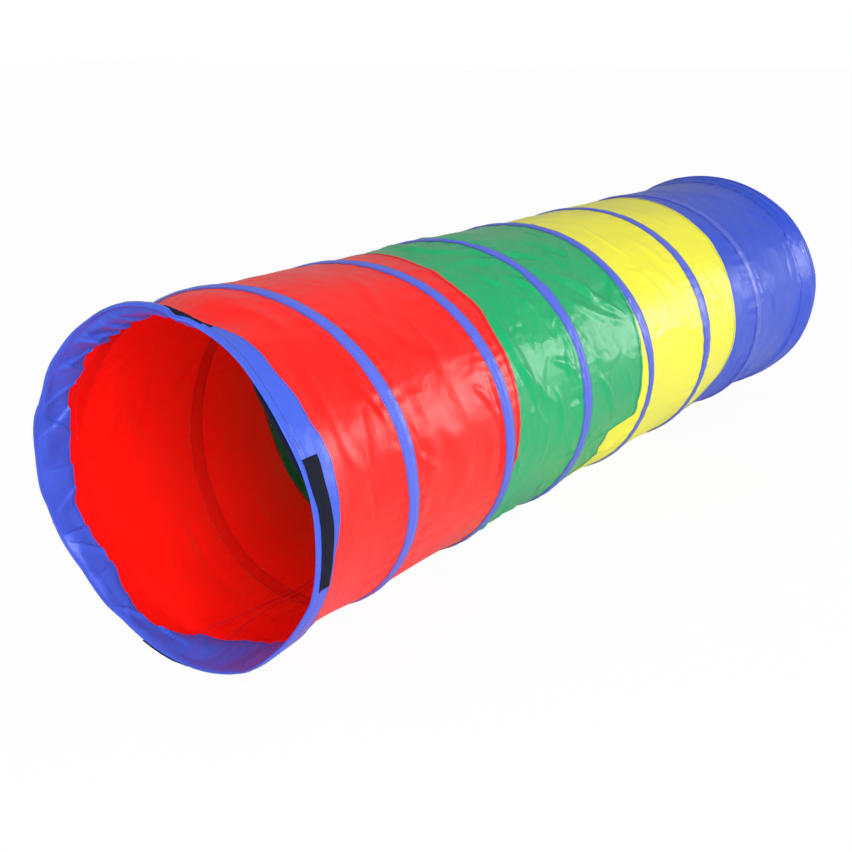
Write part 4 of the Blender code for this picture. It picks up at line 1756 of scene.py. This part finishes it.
@dataclass
class Studio:
    """A white sweep of floor, soft light all round, and soft lamps at the side and the mouth."""

    floor_size: float = 60.0
    floor_below: float = 0.0005
    floor_white: float = 0.96
    surround: float = 0.53
    lamps: tuple[Lamp, ...] = (
        Lamp("key_light", (-3.2, -3.2, 1.4), (-0.5, 0.0, 0.2), (1.8, 1.8), 160.0),
        Lamp("side_light", (2.5, -1.9, 0.6), (-0.2, -0.2, 0.25), (1.2, 0.8), 24.0),
        Lamp("mouth_light", (-2.3, -0.3, 1.9), (-0.88, 0.0, 0.05), (0.8, 0.8), 11.0),
    )

    def build(self) -> None:
        """Makes the floor, the world and the lamps."""
        self.floor()
        self.world()
        for lamp in self.lamps:
            lamp.build()

    def floor(self) -> None:
        """Makes the floor, which looks white and still takes a faint shadow."""
        bm = bmesh.new()
        bmesh.ops.create_grid(bm, x_segments=1, y_segments=1, size=self.floor_size / 2)
        bmesh.ops.translate(bm, verts=bm.verts, vec=(0, 0, -self.floor_below))
        floor = bpy.data.objects.new("floor", make_mesh("floor", bm))
        bpy.context.scene.collection.objects.link(floor)
        board = NodeBoard(bpy.data.materials.new("white_floor"))
        lit = board.add("BsdfDiffuse", Color=(0.92, 0.92, 0.92, 1.0))
        white = board.add("Emission", Color=WHITE, Strength=1.0)
        share = board.math("MULTIPLY", board.seen(), self.floor_white)
        floor.data.materials.append(board.close(board.mix(share, lit, white)))

    def world(self) -> None:
        """Makes the world white to the camera and a plain level of light elsewhere."""
        board = NodeBoard(bpy.data.worlds.new("studio"))
        level, white = (board.add("Background", Color=WHITE, Strength=s) for s in (self.surround, 1.0))
        bpy.context.scene.world = board.close(board.mix(board.seen(), level, white))


@dataclass
class PhotoCamera:
    """The camera at the photograph's place, with its angle and framing."""

    place: tuple[float, float, float] = (-2.1984, -1.1681, 0.7928)
    azimuth: float = -58.514
    elevation: float = 15.217
    roll: float = -0.1989
    lens: float = 61.215

    def build(self) -> None:
        """Makes the camera and puts it in the scene."""
        data = bpy.data.cameras.new("photo_camera")
        data.lens = self.lens
        data.sensor_width = 36.0
        data.clip_start = 0.05
        data.clip_end = 200.0
        a, e = math.radians(self.azimuth), math.radians(self.elevation)
        back = Vector((math.sin(a) * math.cos(e), -math.cos(a) * math.cos(e), math.sin(e)))
        right = Vector((0, 0, 1)).cross(back).normalized()
        up = back.cross(right)
        r = math.radians(self.roll)
        turned = right * math.cos(r) + up * math.sin(r)
        upright = up * math.cos(r) - right * math.sin(r)
        camera = bpy.data.objects.new("photo_camera", data)
        frame_axes = Matrix((turned, upright, back)).transposed().to_4x4()
        camera.matrix_world = Matrix.Translation(self.place) @ frame_axes
        bpy.context.scene.collection.objects.link(camera)
        bpy.context.scene.camera = camera


FRONT_SEAM_INSIDE = RingCurve.mm(
    (1.6, 37.5), (11.6, 40), (20, 38), (25, 40), (30, 50), (35, 53), (40, 50), (47.6, 64), (60, 56),
    (75, 52), (100, 48), (128, 44), (160, 46), (205, 44), (221, 56), (240, 72), (262, 78), (270, 70),
    (276, 64), (284.6, 39), (290.8, 29), (299.5, 24), (306, 27), (312, 31), (318, 36.5), (324, 34.5),
    (331.8, 27), (336.8, 28), (343, 26), (349, 31.5), (356.7, 34.5),
)
FRONT_SEAM_OUTSIDE = RingCurve.mm(
    (20, 57), (45, 50), (60, 39), (75, 31), (90, 27), (102, 26.5), (108, 28), (114, 34.5), (120, 40),
    (128, 40.5), (134, 41), (138, 46), (144, 50), (150, 50), (156, 56), (162, 56), (168, 53), (174, 51),
    (181, 47.5), (186, 42), (192, 34.5), (198, 33), (205, 30), (210, 34.5), (216, 40), (224, 50),
    (240, 65), (255, 64), (270, 60), (310, 58), (350, 56),
)
REAR_SEAM = RingCurve.mm((20, 54), (60, 57), (110, 53), (160, 56), (205, 54), (250, 57), (310, 54))
RED_GREEN = RingCurve.mm(
    (10, 497), (60, 493), (92, 497), (123, 492), (133, 499), (144, 491), (157, 494), (170, 499),
    (189, 494), (200, 488), (240, 493), (300, 498),
)
GREEN_YELLOW = RingCurve.mm(
    (20, 930), (77, 932), (99, 927), (130, 926), (160, 934), (178, 938), (194, 944), (201.5, 954),
    (204.8, 853), (218, 846), (232, 856), (260, 888), (300, 930),
)
YELLOW_BLUE = RingCurve.mm(
    (20, 1396), (100, 1398), (124, 1391), (137, 1400), (158, 1391), (173, 1396), (193, 1398),
    (205, 1392), (215, 1352), (235, 1350), (270, 1375), (320, 1394),
)
LINING_LIFT = RingCurve.mm(
    (0, 0), (36, 0), (46, 3), (54, 6.5), (64, 8.5), (96, 8), (108, 6), (122, 0), (225, 0), (238, 3),
    (250, 5), (262, 5), (274, 2.2), (286, 0),
)
SADDLE = RingCurve.mm((40, 0), (52, 4), (62, 8.5), (104, 8.5), (114, 4.5), (125, 0), (250, 0))
FRONT_LIP = Lip(
    forward=RingCurve.mm(
        (3, 13.5), (9, 13), (15, 11), (21, 3.5), (27, 0), (60, 0), (96, 0), (102, 6), (107, 0),
        (222, 0), (232, 6), (250, 0), (300, 0), (303, 1.5), (309, 5), (321, 5), (327, 8.5), (335, 12.5),
        (345, 14), (351, 17), (357, 15.5),
    ),
    droop=RingCurve.mm((50, 0), (65, 2), (110, 2), (122, 0), (300, 0)),
)
REAR_LIP = Lip(
    forward=RingCurve.mm(
        (110, 0), (132, 8), (138, 13), (150, 13), (162, 15), (180, 18), (210, 18), (230, 14), (260, 8),
        (300, 0),
    ),
    droop=RingCurve.level(0),
)


# Each strip outside the front cuff: its side, where it starts and its edges' depths.
FRONT_STRIPS = (
    (
        "far",
        -20.5,
        RingCurve.mm((339, -3), (346, -3), (351, 1), (20, 1)),
        RingCurve.level(18.5),
    ),
    (
        "top",
        69.5,
        RingCurve.mm((69, 11), (90, 10), (100, 4.5), (111, 3)),
        RingCurve.mm((69, 33), (90, 32), (100, 26.5), (111, 25)),
    ),
    (
        "near",
        159.5,
        RingCurve.mm((160, 4), (168, 2.5), (174, 5), (181, 6), (195, 5.5), (201, 6.5)),
        RingCurve.mm((160, 32), (168, 28.5), (174, 29.5), (181, 31.5), (190, 28.5), (201, 26.5)),
    ),
    (
        "bottom",
        249.5,
        RingCurve.mm((249, 1), (266, 1), (271, -3), (291, -3.5)),
        RingCurve.level(24.5),
    ),
)
REAR_STRIP = (
    RingCurve.mm(
        (0, 8.5), (90, 8.5), (130, 10), (160, 16), (180, 17), (200, 17), (250, 14), (270, 13.5),
        (290, 11.5), (320, 8.5),
    ),
    RingCurve.level(38.5),
)
INNER_STRIP = (
    RingCurve.mm((128, 4), (133, 1), (138, -6.5), (148, -10), (157, -10), (163, -5), (166, 2)),
    RingCurve.level(18),
)
# Each plain fold: x, angle, heading, length, width, height and bend.
PLAIN_FOLDS = (
    (0.803, 137.5, 32.7, 0.116, 0.013, 0.0036, 0.1),
    (0.815, 151.0, 23.0, 0.103, 0.011, 0.0030, -0.1),
    (0.815, 185.0, 47.8, 0.082, 0.009, 0.0034, 0.1),
    (0.875, 151.0, 24.0, 0.049, 0.007, 0.0026, 0.1),
    (0.820, 116.5, 37.5, 0.063, 0.011, -0.0032, 0.1),
    (0.545, 166.0, 62.0, 0.050, 0.010, 0.0028, 0.3),
    (0.590, 173.0, 40.0, 0.060, 0.012, 0.0030, -0.3),
    (0.640, 181.0, 70.0, 0.050, 0.010, 0.0028, 0.2),
    (0.665, 165.0, 30.0, 0.055, 0.009, 0.0026, 0.2),
    (0.620, 112.0, 18.0, 0.100, 0.012, 0.0022, 0.3),
    (0.600, 130.0, 55.0, 0.070, 0.012, 0.0022, -0.2),
    (0.720, 205.0, 50.0, 0.080, 0.012, 0.0026, 0.2),
    (1.100, 89.0, -30.0, 0.060, 0.012, 0.0026, 0.2),
    (1.060, 150.0, 60.0, 0.070, 0.014, 0.0018, 0.3),
    (1.300, 160.0, 55.0, 0.070, 0.014, 0.0016, -0.3),
    (1.470, 140.0, 30.0, 0.080, 0.016, 0.0018, 0.2),
    (0.455, 172.0, 88.0, 0.110, 0.030, -0.0045, 0.1),
    (0.205, 166.0, 60.0, 0.050, 0.010, 0.0026, 0.3),
    (0.235, 176.0, 35.0, 0.060, 0.011, 0.0026, -0.3),
    (0.150, 150.0, 55.0, 0.045, 0.009, 0.0022, 0.2),
    (0.420, 166.0, 50.0, 0.055, 0.010, 0.0022, 0.2),
    (0.140, 118.0, 75.0, 0.090, 0.018, 0.0014, 0.2),
    (0.330, 150.0, 80.0, 0.100, 0.016, 0.0012, -0.2),
)
# Each tuck of the front cuff: angle, width, height and slant.
FRONT_TUCKS = (
    (334.5, 15, 0.0062), (356.5, 14, 0.0054), (348.5, 5, 0.0026, 8), (8, 6, 0.003, -9),
    (17, 13, 0.0044, 10), (325.5, 4, 0.003, -7), (320, 9, 0.004, 4), (308, 5, 0.0026, 9),
    (299, 4, 0.0024, -8), (291, 22, 0.0044, 24), (279, 6, 0.0026, 12), (33, 11, 0.0052, -5),
    (27, 4, 0.0024, 9), (41, 4, 0.0034, 8), (47, 8, 0.0058, -6), (53.5, 5, 0.005, 6), (61, 9, 0.004),
    (74, 10, 0.003, 8), (88, 9, 0.0034, -8), (262, 12, 0.0026), (254, 5, 0.002, 9), (245, 10, 0.002),
    (208, 12, 0.0012), (150, 12, 0.0012), (99, 7, 0.0036), (108, 8, 0.003, 6),
)


def gather_folds(shape: TunnelShape) -> list[Crease]:
    """Lists the folds in the cloth: the ones that show plainly, and scatters of smaller ones.

    Args:
        shape: The tunnel's sizes.

    Returns:
        Every fold.
    """
    red, green, yellow, blue, end = shape.seams
    folds = [Crease(*row) for row in PLAIN_FOLDS]
    recipes = (
        (red, green, Crumple(30, 75.0, 28.0, (0.05, 0.12), (0.012, 0.026), (0.0006, 0.0016), 11)),
        (red, green, Crumple(60, 35.0, 40.0, (0.03, 0.07), (0.006, 0.012), (0.0003, 0.0009), 12)),
        (green, yellow, Crumple(46, 38.0, 24.0, (0.04, 0.09), (0.009, 0.016), (0.0020, 0.0044), 21)),
        (green, yellow, Crumple(90, 62.0, 45.0, (0.02, 0.05), (0.005, 0.010), (0.0010, 0.0022), 22)),
        (yellow, blue, Crumple(34, 60.0, 32.0, (0.04, 0.10), (0.010, 0.022), (0.0008, 0.0020), 31)),
        (yellow, blue, Crumple(44, 20.0, 45.0, (0.02, 0.06), (0.006, 0.012), (0.0004, 0.0010), 32)),
        (blue, end, Crumple(34, 40.0, 30.0, (0.04, 0.10), (0.009, 0.020), (0.0010, 0.0026), 41)),
        (blue, end, Crumple(40, 80.0, 45.0, (0.02, 0.05), (0.006, 0.012), (0.0005, 0.0012), 42)),
    )
    for low, high, recipe in recipes:
        folds += recipe.folds(low, high)
    return folds


def front_cuff(work: Piecework) -> MouthCuff:
    """The cuff at the camera's end, with its tucks where the photograph shows them."""
    pleats = tuple(Pleat(*row) for row in FRONT_TUCKS)
    return MouthCuff(
        work, "front_cuff", End.FRONT, Body.FRONT_END, CUFF, "violet_cloth",
        FRONT_SEAM_INSIDE, FRONT_SEAM_OUTSIDE, FRONT_LIP, pleats, seed=0.7, sleeve_at=315.0,
    )


def rear_cuff(work: Piecework) -> MouthCuff:
    """The cuff at the far end."""
    pleats = tuple(Pleat(17.0 + 36.0 * i + 7 * math.sin(2.3 * i), 13.0, 0.0018) for i in range(10))
    return MouthCuff(
        work, "rear_cuff", End.REAR, Body.REAR_END, BLUE, "blue_cloth",
        REAR_SEAM, REAR_SEAM, REAR_LIP, pleats, seed=2.1, sleeve_at=210.0,
    )


def build_tube(work: Piecework) -> None:
    """Builds the four coloured panels and the tape over them.

    Args:
        work: The shared shape, drape and materials.
    """
    shape = work.shape
    radius = shape.cloth_radius

    def front_edge(angle: Numbers) -> Numbers:
        """X of the red panel's edge, under whichever of the cuff's faces starts first."""
        depth = np.minimum(FRONT_SEAM_INSIDE.at(angle), FRONT_SEAM_OUTSIDE.at(angle))
        return shape.from_mouth(End.FRONT, angle, radius, depth)

    def front_trim(angle: Numbers) -> Numbers:
        """X where the front cuff's outer face ends."""
        return shape.from_mouth(End.FRONT, angle, radius, FRONT_SEAM_OUTSIDE.at(angle))

    def rear_edge(angle: Numbers) -> Numbers:
        """X where the rear cuff's faces end."""
        return shape.from_mouth(End.REAR, angle, radius, REAR_SEAM.at(angle))

    edges = (front_edge, RED_GREEN.at, GREEN_YELLOW.at, YELLOW_BLUE.at, rear_edge)
    # Colour, finish, body, the lengthwise seam's angle and drift, and how far its rows part.
    plans = (
        ("red", RED, Body.RED_SECTION, 274.0, 0.0, 0.016),
        ("green", GREEN, Body.GREEN_SECTION, 266.0, 10.0, 0.0),
        ("yellow", YELLOW, Body.YELLOW_SECTION, 274.0, -6.0, 0.0),
        ("blue", BLUE, Body.BLUE_SECTION, 268.0, 8.0, 0.0),
    )
    for index, (colour, finish, body, seam, drift, parting) in enumerate(plans):
        ends = edges[index], edges[index + 1]
        ClothPanel(work, colour, finish, body, index, *ends, seam, drift, parting).build()
    ChannelTape(work, front_trim, rear_edge).build()


def build_mouths(work: Piecework) -> None:
    """Builds both cuffs and every strip on them.

    Args:
        work: The shared shape, drape and materials.
    """
    front, rear = front_cuff(work), rear_cuff(work)
    front.build()
    rear.build()
    for side, start, low, high in FRONT_STRIPS:
        HookStrip(f"front_strip_{side}", front, start, low, high, outside=True).build()
        HookStrip(f"rear_strip_{side}", rear, start, *REAR_STRIP, outside=False).build()
    HookStrip("front_inner_strip", front, 128.0, *INNER_STRIP, outside=False, sweep=38.0).build()


def main() -> None:
    """Builds the tunnel, its surroundings and the camera."""
    logging.basicConfig(level=logging.INFO, format="%(name)s: %(message)s")
    bpy.context.scene.view_settings.view_transform = "Standard"
    PhotoCamera().build()
    Studio().build()
    shape = TunnelShape()
    folds = FoldField(gather_folds(shape), shape)
    work = Piecework(shape, Drape(shape, folds, LINING_LIFT, FRONT_SEAM_OUTSIDE, REAR_SEAM, SADDLE))
    wire = SpringWire(work)
    wire.build()
    CrimpSleeve(wire, "front_crimp_sleeve", Body.FRONT_END, -52.5, -412.5).build()
    CrimpSleeve(wire, "rear_crimp_sleeve", Body.REAR_END, 2722.5, 2362.5).build()
    build_tube(work)
    build_mouths(work)


if __name__ == "__main__":
    main()
